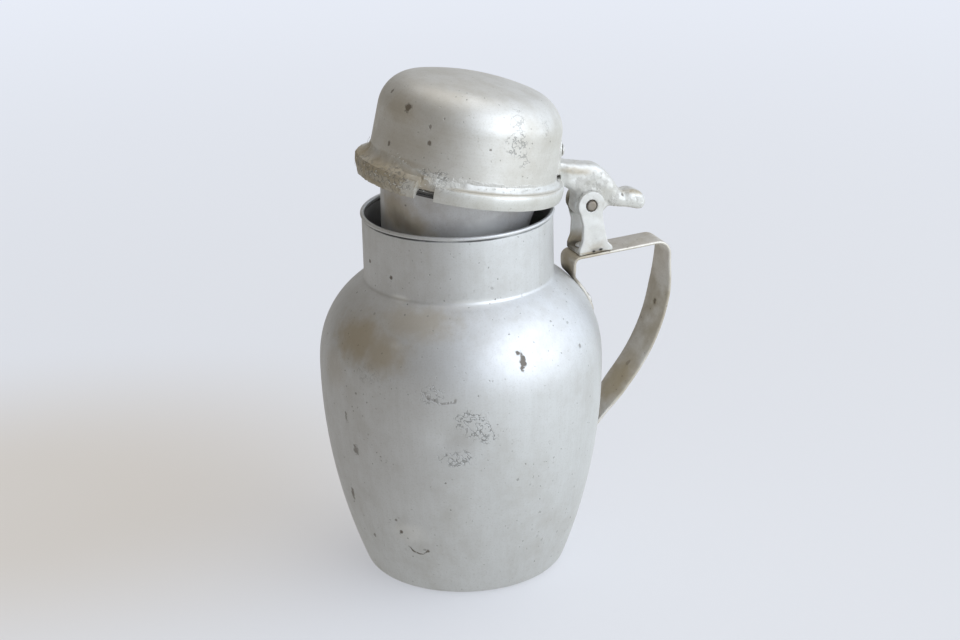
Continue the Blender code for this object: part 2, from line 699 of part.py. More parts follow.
def fasten_arm(dome, arm, hinge):
    """Rivet the arm's pad to the dome's wall, side by side."""
    height = PAD_BOTTOM_Z + PAD_RIVET_RISE
    outer_face = dome_wall(height) + GAP + PAD_THICKNESS
    for name, side in (("arm_rivet_left", -1), ("arm_rivet_right", 1)):
        azimuth = side * PAD_RIVET_SPACING / 2 / outer_face
        normal = Vector((cos(azimuth), sin(azimuth), 0.0))
        seat = normal * outer_face + Vector((-LID_OFFSET, 0.0, height))
        rivet(name, seat, normal, PAD_THICKNESS + GAP + LID_WALL, [dome, arm], hinge)


def build():
    """Build every piece of the bottle."""
    vessel = make_vessel()
    strap = make_strap()
    bracket = make_bracket()
    make_pin()
    drill([bracket], "ear_bore", PIN_RADIUS + GAP, BRACKET_WIDTH + CUT_MARGIN, PIN_CENTRE, ACROSS)
    fasten_strap(vessel, strap)
    fasten_bracket(strap, bracket)

    hinge = bpy.data.objects.new("lid_hinge_axis", None)
    hinge.location = PIN_CENTRE
    hinge.empty_display_size = PIN_RADIUS
    PARTS.objects.link(hinge)
    dome = make_dome(hinge)
    make_sleeve(hinge)
    make_band(hinge)
    arm = make_arm(hinge)
    fasten_arm(dome, arm, hinge)
    hinge.rotation_euler = (0.0, LID_AJAR, 0.0)
    bpy.context.view_layer.update()


clear_scene()
PARTS = make_collection("urine_bottle")
CUTTERS = make_collection("cutters")
build()
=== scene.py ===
"""Looks of a jug-shaped aluminium urine bottle with a strap handle and a hinged, domed lid.

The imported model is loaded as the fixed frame. Each sub-assembly is a class that builds finer meshes in the
place of its CAD nodes and dresses them in worn, oxidised metal. Units are metres and +Z is up. The vessel's
axis is the Z axis and the hinge lies on +X. The lid's pieces are built closed, and then turned ajar about
the hinge, as the frame holds them.
"""

import json
import logging
from dataclasses import dataclass, field
from enum import Enum
from math import asin, atan2, cos, degrees, hypot, pi, radians, sin, tan
from typing import Union

import bmesh
import bpy
import numpy as np
from mathutils import Matrix, Vector, noise
from mathutils.kdtree import KDTree


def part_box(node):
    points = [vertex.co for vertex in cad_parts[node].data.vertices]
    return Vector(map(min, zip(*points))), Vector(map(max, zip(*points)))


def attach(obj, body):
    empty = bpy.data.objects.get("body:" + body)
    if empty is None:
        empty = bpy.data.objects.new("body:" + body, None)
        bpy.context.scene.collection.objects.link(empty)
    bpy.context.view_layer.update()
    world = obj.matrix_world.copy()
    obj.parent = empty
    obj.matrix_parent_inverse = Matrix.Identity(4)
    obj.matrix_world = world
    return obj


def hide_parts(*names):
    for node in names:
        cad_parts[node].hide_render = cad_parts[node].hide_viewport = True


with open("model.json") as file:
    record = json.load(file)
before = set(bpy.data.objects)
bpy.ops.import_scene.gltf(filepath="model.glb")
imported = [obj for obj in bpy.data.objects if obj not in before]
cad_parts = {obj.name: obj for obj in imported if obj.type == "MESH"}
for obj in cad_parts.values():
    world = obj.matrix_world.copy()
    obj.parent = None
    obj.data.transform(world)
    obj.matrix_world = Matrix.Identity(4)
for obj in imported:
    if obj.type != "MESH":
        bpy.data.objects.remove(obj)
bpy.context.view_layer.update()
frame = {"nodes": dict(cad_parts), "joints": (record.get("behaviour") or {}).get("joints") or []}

LOG = logging.getLogger("urine_bottle")

Point = tuple[float, float]
Colour = tuple[float, float, float]
Seat = tuple[Vector, Vector, Vector]
Reading = Union[float, np.ndarray]
CREASE_ANGLE = radians(42)
WELD = 0.000001
SAME_SIZE = Vector((1.0, 1.0, 1.0))
UNMOVED = Matrix.Identity(4)

# Pale colour of rubbed patches, also laid as painted highlights.
RUBBED_AND_HIGHLIGHT_BRIGHT = (0.86, 0.86, 0.85)
CRUST_WHITE = (0.66, 0.65, 0.61)
ETCH_GREY = (0.17, 0.17, 0.165)
PIT_BROWN = (0.13, 0.115, 0.09)
RUST_BROWN = (0.095, 0.070, 0.040)
# Colour of painted shade, laid in seams, slots, gaps and recesses.
PAINTED_SHADE_DARK = (0.020, 0.018, 0.016)
SPECKLE_RELIEF = 0.000012
PATCH_RELIEF = 0.00006
CRUST_RELIEF = 0.00006
CRUST_GRIT = 0.00022
PIT_DEPTH = 0.00013
ETCH_DEPTH = 0.00009
RUST_DEPTH = 0.00016


# ---------------------------------------------------------------- node graphs


class Value:
    """A socket that gives a number or a vector. Python's operators add Math nodes to its tree."""

    def __init__(self, graph: "Graph", socket: bpy.types.NodeSocket) -> None:
        """Keep the graph and the output socket."""
        self.graph = graph
        self.socket = socket

    def __add__(self, other: "Number") -> "Value":
        """Return self + other."""
        return self.graph.math("ADD", self, other)

    __radd__ = __add__

    def __sub__(self, other: "Number") -> "Value":
        """Return self - other."""
        return self.graph.math("SUBTRACT", self, other)

    def __rsub__(self, other: "Number") -> "Value":
        """Return other - self."""
        return self.graph.math("SUBTRACT", other, self)

    def __mul__(self, other: "Number") -> "Value":
        """Return self * other."""
        return self.graph.math("MULTIPLY", self, other)

    __rmul__ = __mul__

    def __pow__(self, other: "Number") -> "Value":
        """Return self to a power."""
        return self.graph.math("POWER", self, other)

    def __abs__(self) -> "Value":
        """Return the size of self without its sign."""
        return self.graph.math("ABSOLUTE", self)

    def __or__(self, other: "Number") -> "Value":
        """Return the larger of two masks."""
        return self.graph.math("MAXIMUM", self, other)

    def step(self, low: float, high: float) -> "Value":
        """Return 0 to 1 smoothly as self goes from low to high, which may also run downwards.

        Args:
            low: Where it is 0.
            high: Where it is 1.

        Returns:
            The mask.
        """
        settings = {"interpolation_type": "SMOOTHSTEP"}
        inputs = {"Value": self, "From Min": low, "From Max": high, "To Min": 0.0, "To Max": 1.0}
        if low > high:
            inputs.update({"From Min": high, "From Max": low, "To Min": 1.0, "To Max": 0.0})
        return self.graph.node("ShaderNodeMapRange", settings, inputs, "Result")


Number = Union[Value, float]


class Graph:
    """A node tree that is written with Python calls."""

    def __init__(self, tree: bpy.types.NodeTree) -> None:
        """Keep the tree."""
        self.tree = tree

    def add(self, kind: str, settings: dict | None = None, inputs: dict | None = None) -> bpy.types.Node:
        """Add a node.

        Args:
            kind: The node's type name.
            settings: Its properties, set first. "stops" fills a ramp with (place, colour) pairs.
            inputs: The value or link of each socket, by name or by index.

        Returns:
            The node.
        """
        made = self.tree.nodes.new(kind)
        for name, value in (settings or {}).items():
            if name == "stops":
                ramp = made.color_ramp
                while len(ramp.elements) < len(value):
                    ramp.elements.new(1.0)
                for element, (place, colour) in zip(ramp.elements, value):
                    element.position = place
                    element.color = (*colour, 1.0)
            else:
                setattr(made, name, value)
        for name, value in (inputs or {}).items():
            socket = made.inputs[name]
            if isinstance(value, Value):
                self.tree.links.new(value.socket, socket)
            elif socket.type == "RGBA" and len(value) == 3:
                socket.default_value = (*value, 1.0)
            else:
                socket.default_value = value
        return made

    def node(
        self, kind: str, settings: dict | None = None, inputs: dict | None = None, output: int | str = 0
    ) -> Value:
        """Add a node and return one of its outputs, by name or by index."""
        return Value(self, self.add(kind, settings, inputs).outputs[output])

    def math(self, operation: str, *values: Number) -> Value:
        """Add a Math node over numbers."""
        return self.node("ShaderNodeMath", {"operation": operation}, dict(enumerate(values)))

    def mix(self, factor: Number, low: Union[Value, Colour], high: Union[Value, Colour]) -> Value:
        """Return low where factor is 0 and high where it is 1, as a colour."""
        settings = {"data_type": "RGBA", "clamp_factor": True}
        return self.node("ShaderNodeMix", settings, {0: factor, 6: low, 7: high}, 2)

    def noise(self, vector: Value, scale: float, detail: float = 3.0, rough: float = 0.55) -> Value:
        """Return a fractal noise from 0 to 1."""
        inputs = {"Vector": vector, "Scale": scale, "Detail": detail, "Roughness": rough}
        return self.node("ShaderNodeTexNoise", None, inputs, 0)

    def moved(self, vector: Value, location: tuple, turn: tuple, scale: tuple) -> Value:
        """Return a vector as seen from a box with its own place, turn and size."""
        inputs = {"Vector": vector, "Location": location, "Rotation": turn, "Scale": scale}
        return self.node("ShaderNodeMapping", {"vector_type": "TEXTURE"}, inputs)

    def length(self, vector: Value) -> Value:
        """Return a vector's length."""
        return self.node("ShaderNodeVectorMath", {"operation": "LENGTH"}, {0: vector}, "Value")

    def along(self, vector: Value, way: Vector) -> Value:
        """Return how far a vector goes along a way."""
        inputs = {0: vector, 1: tuple(way)}
        return self.node("ShaderNodeVectorMath", {"operation": "DOT_PRODUCT"}, inputs, "Value")

    def scaled(self, vector: Value, scale: tuple) -> Value:
        """Return a vector stretched along its axes."""
        return self.node("ShaderNodeVectorMath", {"operation": "MULTIPLY"}, {0: vector, 1: scale})


# ---------------------------------------------------------------- finishes


class Grain(Enum):
    """Which way the fine lines of a surface run."""

    UPRIGHT = (520.0, 520.0, 9.0)
    RINGS = (14.0, 14.0, 620.0)
    ALONG = (900.0, 60.0, 900.0)
    CAST = (420.0, 420.0, 420.0)


class Kind(Enum):
    """What a mark on a surface is."""

    RUST = "brown spot"
    ARC = "brown arc"
    ETCH = "grey scribble"
    CRUST = "whitish crust"
    # DIRT marks lay real brown film on some pieces, and painted shade and painted dark reflection on others.
    DIRT = "brown film"
    # WORN marks lay rubbed patches on some pieces, and painted highlights on others.
    WORN = "bright rubbed patch"
    # SHADE marks are painted shade: dark colour in seams, slots, gaps and recesses, not grease.
    SHADE = "dark grease"


@dataclass(frozen=True)
class Mark:
    """One mark, placed on a turned surface.

    Attributes:
        kind: What it is.
        azimuth: Degrees from the hinge's side, anticlockwise from above.
        height: Above the ground, with the lid closed.
        radius: Of the surface there.
        width: Half its width.
        length: Half its height.
        turn: Degrees that it leans.
        strength: From 0 to 1.
    """

    kind: Kind
    azimuth: float
    height: float
    radius: float
    width: float
    length: float
    turn: float = 0.0
    strength: float = 1.0


@dataclass(frozen=True)
class AgedMetal:
    """Satin metal that has been used, washed and left to oxidise.

    Attributes:
        name: The material's name.
        bare: Colour where the metal is clean.
        dull: Colour where it has oxidised.
        film: Colour of the thin brown dirt. DIRT marks also lay it as painted shade and painted dark
            reflection.
        sheen: Roughness of the clean metal.
        chalk: Roughness of the oxidised metal.
        metallic: Of the clean metal.
        grain: Direction of its fine lines.
        grain_depth: Relief of those lines.
        mottle: How strongly the oxide clouds the metal, from 0 to 1.
        pitting: How many fine pits it has, from 0 to 1.
        crust: How much white crust covers it, from 0 to 1.
        grime: How much brown film covers it, from 0 to 1.
        lump: Relief of a coarse, cast skin.
        marks: The marks that it carries.
        shaded_joint_height: Height under which, outside shaded_joint_radius, painted shade darkens the metal
            in the joint under the band.
        shaded_joint_radius: See blackened.
    """

    name: str
    bare: Colour = (0.71, 0.72, 0.73)
    dull: Colour = (0.56, 0.555, 0.54)
    film: Colour = (0.37, 0.29, 0.165)
    sheen: float = 0.36
    chalk: float = 0.52
    metallic: float = 1.0
    grain: Grain = Grain.UPRIGHT
    grain_depth: float = 0.00002
    mottle: float = 0.5
    pitting: float = 0.5
    crust: float = 0.0
    grime: float = 0.1
    lump: float = 0.0
    marks: tuple[Mark, ...] = ()
    # Painted shade in the joint under the band: below this height and outside the radius below.
    shaded_joint_height: float = 0.0
    shaded_joint_radius: float = 1.0

    def material(self, placing: Matrix) -> bpy.types.Material:
        """Build the material.

        Args:
            placing: Takes the piece from where its marks are given to where it lies.

        Returns:
            The material.
        """
        made = bpy.data.materials.new(self.name)
        made.use_nodes = True
        made.node_tree.nodes.clear()
        g = Graph(made.node_tree)
        raw = g.node("ShaderNodeTexCoord", output="Object")
        turn = placing.to_euler("XYZ")
        place = g.moved(raw, tuple(placing.to_translation()), tuple(turn), (1.0, 1.0, 1.0))

        clouds = g.noise(place, 26.0, 4.0, 0.6)
        patches = g.noise(place, 95.0, 4.0, 0.62)
        speckle = g.noise(place, 1400.0, 2.0, 0.6)
        lines = g.noise(g.scaled(place, self.grain.value), 1.0, 3.0, 0.6)
        oxide = (clouds * 0.6 + patches * 0.5 - 0.55).step(-0.12, 0.20) * self.mottle
        layers = self._marks(g, place, patches)

        pits = self._pits(g, place, clouds)
        # Brown film: real grime plus the DIRT marks, which on some pieces are painted shade and painted dark
        # reflection.
        grime = ((clouds * 0.7 + patches * 0.4).step(0.50, 0.78) * self.grime) | layers[Kind.DIRT]
        crust = self._crust(g, place, patches) | layers[Kind.CRUST]
        # Painted shade: the joint under the band and the SHADE marks.
        painted_shade_mask = self._painted_joint_shade(g, place) | layers[Kind.SHADE]

        tone = g.mix(oxide, self.bare, self.dull)
        tone = g.mix(lines.step(0.30, 0.72) * 0.16, tone, self.dull)
        tone = g.mix(speckle.step(0.50, 0.72) * 0.40, tone, self.dull)
        # Rubbed patches and painted highlights, from the WORN marks.
        tone = g.mix(layers[Kind.WORN], tone, RUBBED_AND_HIGHLIGHT_BRIGHT)
        tone = g.mix(grime * 0.75, tone, self.film)
        tone = g.mix(crust, tone, CRUST_WHITE)
        tone = g.mix(layers[Kind.ETCH] * 0.62, tone, ETCH_GREY)
        tone = g.mix(pits * 0.72, tone, PIT_BROWN)
        tone = g.mix(layers[Kind.RUST] * 0.85, tone, RUST_BROWN)
        # Painted shade goes on last, over every other colour.
        tone = g.mix(painted_shade_mask, tone, PAINTED_SHADE_DARK)

        rough = lines * 0.10 + (self.sheen - 0.05) + oxide * (self.chalk - self.sheen)
        rough = rough + crust * 0.30 + grime * 0.10 + pits * 0.2 + painted_shade_mask * 0.4 - layers[Kind.WORN] * 0.10
        matte = crust * 0.75 | layers[Kind.RUST] * 0.7 | painted_shade_mask | grime * 0.35
        metal = (1.0 - matte) * self.metallic

        relief = lines * self.grain_depth + speckle * SPECKLE_RELIEF + patches * PATCH_RELIEF
        relief = relief + crust * speckle * CRUST_GRIT + crust * CRUST_RELIEF
        relief = relief - pits * PIT_DEPTH - layers[Kind.ETCH] * ETCH_DEPTH - layers[Kind.RUST] * RUST_DEPTH
        if self.lump:
            relief = relief + g.noise(place, 330.0, 3.0, 0.6) * self.lump
        normal = g.node("ShaderNodeBump", None, {"Strength": 1.0, "Distance": 1.0, "Height": relief})
        shader = g.node(
            "ShaderNodeBsdfPrincipled",
            None,
            {"Base Color": tone, "Roughness": rough, "Metallic": metal, "Normal": normal},
        )
        g.add("ShaderNodeOutputMaterial", None, {"Surface": shader})
        return made

    def _pits(self, g: Graph, place: Value, clouds: Value) -> Value:
        """Return the mask of small corrosion pits, which come in loose groups.

        Args:
            g: The material's graph.
            place: The point on the piece, in metres.
            clouds: A coarse noise that gathers the pits.

        Returns:
            The mask.
        """
        wobble = g.node("ShaderNodeTexNoise", None, {"Vector": place, "Scale": 900.0}, "Color")
        wobble = g.scaled(wobble, (0.0011, 0.0011, 0.0011))
        warped = g.node("ShaderNodeVectorMath", {"operation": "ADD"}, {0: place, 1: wobble})
        total: Number = 0.0
        for scale, size, share in ((330.0, 0.30, 0.90), (760.0, 0.36, 0.86)):
            cells = g.add("ShaderNodeTexVoronoi", None, {"Vector": warped, "Scale": scale})
            near = Value(g, cells.outputs["Distance"]).step(size, size * 0.55)
            chance = g.node("ShaderNodeSeparateColor", None, {0: Value(g, cells.outputs["Color"])})
            chosen = (chance + clouds * 0.25).step(share + 0.27 - 0.12 * self.pitting, share + 0.28)
            total = near * chosen | total
        return total * min(1.0, self.pitting * 1.2)

    def _crust(self, g: Graph, place: Value, patches: Value) -> Value:
        """Return the mask of the chalky white crust over the whole piece.

        Args:
            g: The material's graph.
            place: The point on the piece, in metres.
            patches: A middling noise.

        Returns:
            The mask.
        """
        if not self.crust:
            return patches * 0.0
        fine = g.noise(place, 420.0, 4.0, 0.7)
        edge = 0.80 - 0.55 * self.crust
        return (fine * 0.6 + patches * 0.5).step(edge, edge + 0.10) * min(1.0, self.crust * 1.4)

    def _painted_joint_shade(self, g: Graph, place: Value) -> Value:
        """Return the mask of painted shade on the metal inside the joint under the band.

        Args:
            g: The material's graph.
            place: The point on the piece, in metres.

        Returns:
            The mask.
        """
        parts = g.add("ShaderNodeSeparateXYZ", None, {0: place})
        x, y, z = (Value(g, socket) for socket in parts.outputs)
        outside = ((x * x + y * y) ** 0.5).step(self.shaded_joint_radius, self.shaded_joint_radius + 0.0004)
        return outside * z.step(self.shaded_joint_height, self.shaded_joint_height - 0.0004) * 0.93

    def _marks(self, g: Graph, place: Value, patches: Value) -> dict[Kind, Value]:
        """Return one mask for each kind of mark, with every mark of that kind in it.

        Args:
            g: The material's graph.
            place: The point on the piece, in metres.
            patches: Any noise, which starts the empty masks.

        Returns:
            The masks by kind.
        """
        layers = {kind: patches * 0.0 for kind in Kind}
        if not self.marks:
            return layers
        ragged = g.noise(place, 520.0, 3.0, 0.65)
        loose = g.noise(place, 170.0, 2.0, 0.6)
        scribble = abs(g.noise(place, 360.0, 2.0, 0.5) - 0.5).step(0.035, 0.012)
        for mark in self.marks:
            angle = radians(mark.azimuth)
            centre = (mark.radius * cos(angle), mark.radius * sin(angle), mark.height)
            turn = (0.0, radians(mark.turn), angle + pi / 2)
            local = g.moved(place, centre, turn, (mark.width, 0.02, mark.length))
            reach = g.length(local)
            if mark.kind is Kind.ARC:
                height = Value(g, g.add("ShaderNodeSeparateXYZ", None, {0: local}).outputs[2])
                ring = abs(reach - 1.0 + (loose - 0.5) * 0.9).step(0.16, 0.05)
                mask = ring * (height + loose * 0.8).step(0.35, -0.05) * ragged.step(0.38, 0.52)
                layers[Kind.RUST] = layers[Kind.RUST] | mask * mark.strength
                continue
            if mark.kind is Kind.ETCH:
                mask = (reach + (loose - 0.5) * 1.2).step(1.1, 0.7) * (scribble | ragged.step(0.60, 0.66))
            elif mark.kind in (Kind.DIRT, Kind.WORN, Kind.SHADE):
                mask = (reach + (loose - 0.5) * 0.8).step(1.15, 0.25)
            else:
                mask = (reach + (ragged - 0.5) * 2.2 + (loose - 0.5) * 0.8).step(1.10, 0.55)
            layers[mark.kind] = layers[mark.kind] | mask * mark.strength
        return layers


# ---------------------------------------------------------------- outlines


def arc(centre: Point, radius: float, start: float, end: float, steps: int) -> list[Point]:
    """Return the points of an arc, both ends included.

    Args:
        centre: Its centre.
        radius: Its radius.
        start: First angle, from +X towards +Z.
        end: Last angle.
        steps: Number of stretches.

    Returns:
        The points.
    """
    turn = (end - start) / steps
    return [
        (centre[0] + radius * cos(start + turn * i), centre[1] + radius * sin(start + turn * i))
        for i in range(steps + 1)
    ]


def offset(points: list[Point], distance: float) -> list[Point]:
    """Return a line moved to its right-hand side, with mitred corners.

    Args:
        points: The line.
        distance: How far it moves.

    Returns:
        The new line, with as many points.
    """
    normals = [
        ((z1 - z0) / hypot(x1 - x0, z1 - z0), (x0 - x1) / hypot(x1 - x0, z1 - z0))
        for (x0, z0), (x1, z1) in zip(points, points[1:])
    ]
    moved = []
    for (x, z), a, b in zip(points, [normals[0]] + normals, normals + [normals[-1]]):
        mitre = distance / (1.0 + a[0] * b[0] + a[1] * b[1])
        moved.append((x + (a[0] + b[0]) * mitre, z + (a[1] + b[1]) * mitre))
    return moved


def fillet(before: Point, corner: Point, after: Point, radius: float, steps: int) -> list[Point]:
    """Return the points of the arc that rounds a corner.

    Args:
        before: A point on the line that comes in.
        corner: The corner.
        after: A point on the line that goes out.
        radius: The arc's radius.
        steps: Number of stretches.

    Returns:
        The points.
    """
    start = (Vector(before) - Vector(corner)).normalized()
    end = (Vector(after) - Vector(corner)).normalized()
    half = start.angle(end) / 2
    centre = Vector(corner) + (start + end).normalized() * radius / sin(half)
    first = Vector(corner) + start * radius / tan(half) - centre
    last = Vector(corner) + end * radius / tan(half) - centre
    begin = atan2(first.y, first.x)
    sweep = (atan2(last.y, last.x) - begin + pi) % (2 * pi) - pi
    return arc((centre.x, centre.y), radius, begin, begin + sweep, steps)


def smooth(value: Reading, low: float, high: float) -> Reading:
    """Return 0 to 1 smoothly as each value goes from low to high."""
    share = np.clip((value - low) / (high - low), 0.0, 1.0)
    return share * share * (3.0 - 2.0 * share)


def resampled(points: list[Point], spacing: float) -> np.ndarray:
    """Return points at an even spacing along a line.

    Args:
        points: The line.
        spacing: The most that two points may lie apart.

    Returns:
        The points, one row each.
    """
    line = np.array(points)
    run = np.concatenate([[0.0], np.cumsum(np.hypot(*np.diff(line, axis=0).T))])
    places = np.linspace(0.0, run[-1], int(run[-1] / spacing) + 2)
    return np.column_stack([np.interp(places, run, line[:, i]) for i in (0, 1)])


# ---------------------------------------------------------------- meshes


def points_of(mesh: bpy.types.Mesh) -> np.ndarray:
    """Read a mesh's points.

    Args:
        mesh: The mesh.

    Returns:
        The points, one row each.
    """
    flat = np.empty(len(mesh.vertices) * 3)
    mesh.vertices.foreach_get("co", flat)
    return flat.reshape(-1, 3)


def move_points(mesh: bpy.types.Mesh, points: np.ndarray) -> None:
    """Put a mesh's points where the rows say."""
    mesh.vertices.foreach_set("co", points.astype(np.float32).ravel())
    mesh.update()


def linked(name: str, mesh: bpy.types.Mesh) -> bpy.types.Object:
    """Return a new object of a mesh, in the scene.

    Args:
        name: The object's name.
        mesh: Its mesh.

    Returns:
        The object.
    """
    item = bpy.data.objects.new(name, mesh)
    bpy.context.scene.collection.objects.link(item)
    return item


def tidy(mesh: bpy.types.Mesh) -> None:
    """Merge a mesh's doubles, turn its faces outwards and shade it smooth between its creases.

    Args:
        mesh: The mesh, which is changed.
    """
    shape = bmesh.new()
    shape.from_mesh(mesh)
    bmesh.ops.remove_doubles(shape, verts=shape.verts, dist=WELD)
    bmesh.ops.recalc_face_normals(shape, faces=shape.faces)
    shape.to_mesh(mesh)
    shape.free()
    mesh.shade_smooth()
    mesh.set_sharp_from_angle(angle=CREASE_ANGLE)


def settled(item: bpy.types.Object) -> bpy.types.Object:
    """Replace an object's mesh by what its modifiers make of it, and remove them.

    Args:
        item: The object.

    Returns:
        The same object, with a plain mesh.
    """
    evaluated = item.evaluated_get(bpy.context.evaluated_depsgraph_get())
    mesh = bpy.data.meshes.new_from_object(evaluated)
    item.modifiers.clear()
    item.data = mesh
    mesh.name = item.name
    return item


def loft(name: str, rings: np.ndarray, joined: bool) -> bpy.types.Object:
    """Build a closed body from a row of rings.

    Args:
        name: The object's name.
        rings: Points with the shape (ring, point, 3).
        joined: Whether the last ring meets the first. If not, both ends are capped.

    Returns:
        The object.
    """
    count, size = rings.shape[:2]
    faces = []
    for i in range(count if joined else count - 1):
        here, there = i * size, (i + 1) % count * size
        for j in range(size):
            k = (j + 1) % size
            faces.append((here + j, here + k, there + k, there + j))
    if not joined:
        faces.append(tuple(range(size)))
        faces.append(tuple(range((count - 1) * size, count * size)))
    mesh = bpy.data.meshes.new(name)
    mesh.from_pydata(rings.reshape(-1, 3).tolist(), [], faces)
    tidy(mesh)
    return linked(name, mesh)


def roughen(mesh: bpy.types.Mesh, depth: float, scale: float, seed: float) -> None:
    """Push a mesh's points in and out along their normals by a smooth noise.

    Args:
        mesh: The mesh, which is changed.
        depth: The most that a point moves.
        scale: How fine the noise is.
        seed: Where in the noise it starts.
    """
    points = points_of(mesh)
    normals = np.array([v.normal for v in mesh.vertices])
    shift = Vector((seed, -seed, seed * 0.5))
    amounts = np.array([noise.noise(Vector(p) * scale + shift) for p in points])
    move_points(mesh, points + normals * (amounts * depth)[:, None])


class Tree:
    """A Geometry Nodes group with named inputs."""

    def __init__(self, name: str, inputs: dict[str, str]) -> None:
        """Make the group with its sockets.

        Args:
            name: The group's name.
            inputs: The socket type of each named input after the geometry.
        """
        self.group = bpy.data.node_groups.new(name, "GeometryNodeTree")
        interface = self.group.interface
        interface.new_socket("Geometry", in_out="INPUT", socket_type="NodeSocketGeometry")
        self.identifiers = {
            label: interface.new_socket(label, in_out="INPUT", socket_type=kind).identifier
            for label, kind in inputs.items()
        }
        interface.new_socket("Geometry", in_out="OUTPUT", socket_type="NodeSocketGeometry")
        self.graph = Graph(self.group)
        self.source = self.graph.add("NodeGroupInput")

    def given(self, label: str) -> Value:
        """Return a named input."""
        return Value(self.graph, self.source.outputs[label])

    def end(self, geometry: Value) -> None:
        """Realise the instances, set the material and send the geometry out.

        Args:
            geometry: What the nodes before have made.
        """
        real = self.graph.node("GeometryNodeRealizeInstances", None, {0: geometry})
        painted = self.graph.node(
            "GeometryNodeSetMaterial", None, {"Geometry": real, "Material": self.given("Material")}
        )
        self.graph.add("NodeGroupOutput", None, {0: painted})

    def run(self, item: bpy.types.Object, values: dict) -> bpy.types.Object:
        """Run the group on an object and keep the result as its plain mesh.

        Args:
            item: The object.
            values: The value of each named input.

        Returns:
            The same object.
        """
        modifier = item.modifiers.new(self.group.name, "NODES")
        modifier.node_group = self.group
        for label, value in values.items():
            modifier[self.identifiers[label]] = value
        return settled(item)


class Lathe:
    """Turns an outline about an upright axis."""

    CORE = 0.001

    def __init__(self) -> None:
        """Build the tree: the outline is swept along a small circle and welded at its poles."""
        inputs = {"Segments": "NodeSocketInt", "Core": "NodeSocketFloat", "Material": "NodeSocketMaterial"}
        self.tree = Tree("Lathe", inputs)
        g = self.tree.graph
        spot = g.add("ShaderNodeSeparateXYZ", None, {0: g.node("GeometryNodeInputPosition")})
        radius = Value(g, spot.outputs[0]) - self.tree.given("Core")
        flat = g.node("ShaderNodeCombineXYZ", None, {0: radius, 1: Value(g, spot.outputs[2]) * -1.0})
        laid = g.node(
            "GeometryNodeSetPosition", None, {"Geometry": self.tree.given("Geometry"), "Position": flat}
        )
        profile = g.node("GeometryNodeMeshToCurve", None, {"Mesh": laid})
        circle = g.node(
            "GeometryNodeCurvePrimitiveCircle",
            None,
            {"Resolution": self.tree.given("Segments"), "Radius": self.tree.given("Core")},
        )
        swept = g.node("GeometryNodeCurveToMesh", None, {"Curve": circle, "Profile Curve": profile})
        welded = g.node("GeometryNodeMergeByDistance", None, {"Geometry": swept, "Distance": WELD})
        self.tree.end(welded)

    def turn(
        self,
        name: str,
        outline: list[Point],
        segments: int,
        material: bpy.types.Material,
        closed: bool = False,
        centre_x: float = 0.0,
    ) -> bpy.types.Object:
        """Turn an outline.

        Args:
            name: The object's name.
            outline: (radius, height) points. An open one starts and ends on the axis.
            segments: Steps around.
            material: What it is made of.
            closed: Whether the outline's ends meet.
            centre_x: The axis's place along X.

        Returns:
            The object, with a plain mesh.
        """
        edges = [(i, i + 1) for i in range(len(outline) - 1)]
        if closed:
            edges.append((len(outline) - 1, 0))
        mesh = bpy.data.meshes.new(name)
        mesh.from_pydata([(x, 0.0, z) for x, z in outline], edges, [])
        item = linked(name, mesh)
        self.tree.run(item, {"Segments": segments, "Core": self.CORE, "Material": material})
        tidy(item.data)
        item.data.transform(Matrix.Translation((centre_x, 0.0, 0.0)))
        return item


class Scatter:
    """Sets copies of one small shape on the points of a mesh, each turned to its own direction."""

    def __init__(self) -> None:
        """Build the tree. Each point has a direction and a size attribute."""
        self.tree = Tree("Scatter", {"Shape": "NodeSocketObject", "Material": "NodeSocketMaterial"})
        g = self.tree.graph
        shape = g.node("GeometryNodeObjectInfo", None, {"Object": self.tree.given("Shape")}, "Geometry")
        vector = {"data_type": "FLOAT_VECTOR"}
        direction = g.node("GeometryNodeInputNamedAttribute", vector, {"Name": "direction"})
        size = g.node("GeometryNodeInputNamedAttribute", vector, {"Name": "size"})
        turned = g.node("FunctionNodeAlignRotationToVector", {"axis": "Z"}, {"Vector": direction})
        placed = g.node(
            "GeometryNodeInstanceOnPoints",
            None,
            {"Points": self.tree.given("Geometry"), "Instance": shape, "Rotation": turned, "Scale": size},
        )
        self.tree.end(placed)

    def place(
        self,
        name: str,
        shape: bpy.types.Object,
        seats: list[Seat],
        material: bpy.types.Material,
    ) -> bpy.types.Object:
        """Place the copies and remove the shape.

        Args:
            name: The new object's name.
            shape: The object to copy, which stands on the origin along +Z.
            seats: The place, direction and size of each copy.
            material: What they are made of.

        Returns:
            One object with a plain mesh.
        """
        mesh = bpy.data.meshes.new(name)
        mesh.from_pydata([seat[0] for seat in seats], [], [])
        for label, column in (("direction", 1), ("size", 2)):
            layer = mesh.attributes.new(label, "FLOAT_VECTOR", "POINT")
            layer.data.foreach_set("vector", np.array([s[column] for s in seats], np.float32).ravel())
        item = linked(name, mesh)
        self.tree.run(item, {"Shape": shape, "Material": material})
        bpy.data.objects.remove(shape)
        item.data.shade_smooth()
        item.data.set_sharp_from_angle(angle=CREASE_ANGLE)
        return item


def handed_over(
    item: bpy.types.Object, body: str, nodes: tuple[str, ...], paint: bpy.types.Material
) -> bpy.types.Object:
    """Dress a finished piece and give it to the frame.

    Args:
        item: The piece, in its place.
        body: The CAD body that it rides on.
        nodes: The CAD nodes that it stands for.
        paint: Its material.

    Returns:
        The piece.
    """
    item.data.materials.clear()
    item.data.materials.append(paint)
    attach(item, body)
    if nodes:
        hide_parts(*nodes)
    LOG.info("%s: %d faces, rides on %s", item.name, len(item.data.polygons), body)
    return item


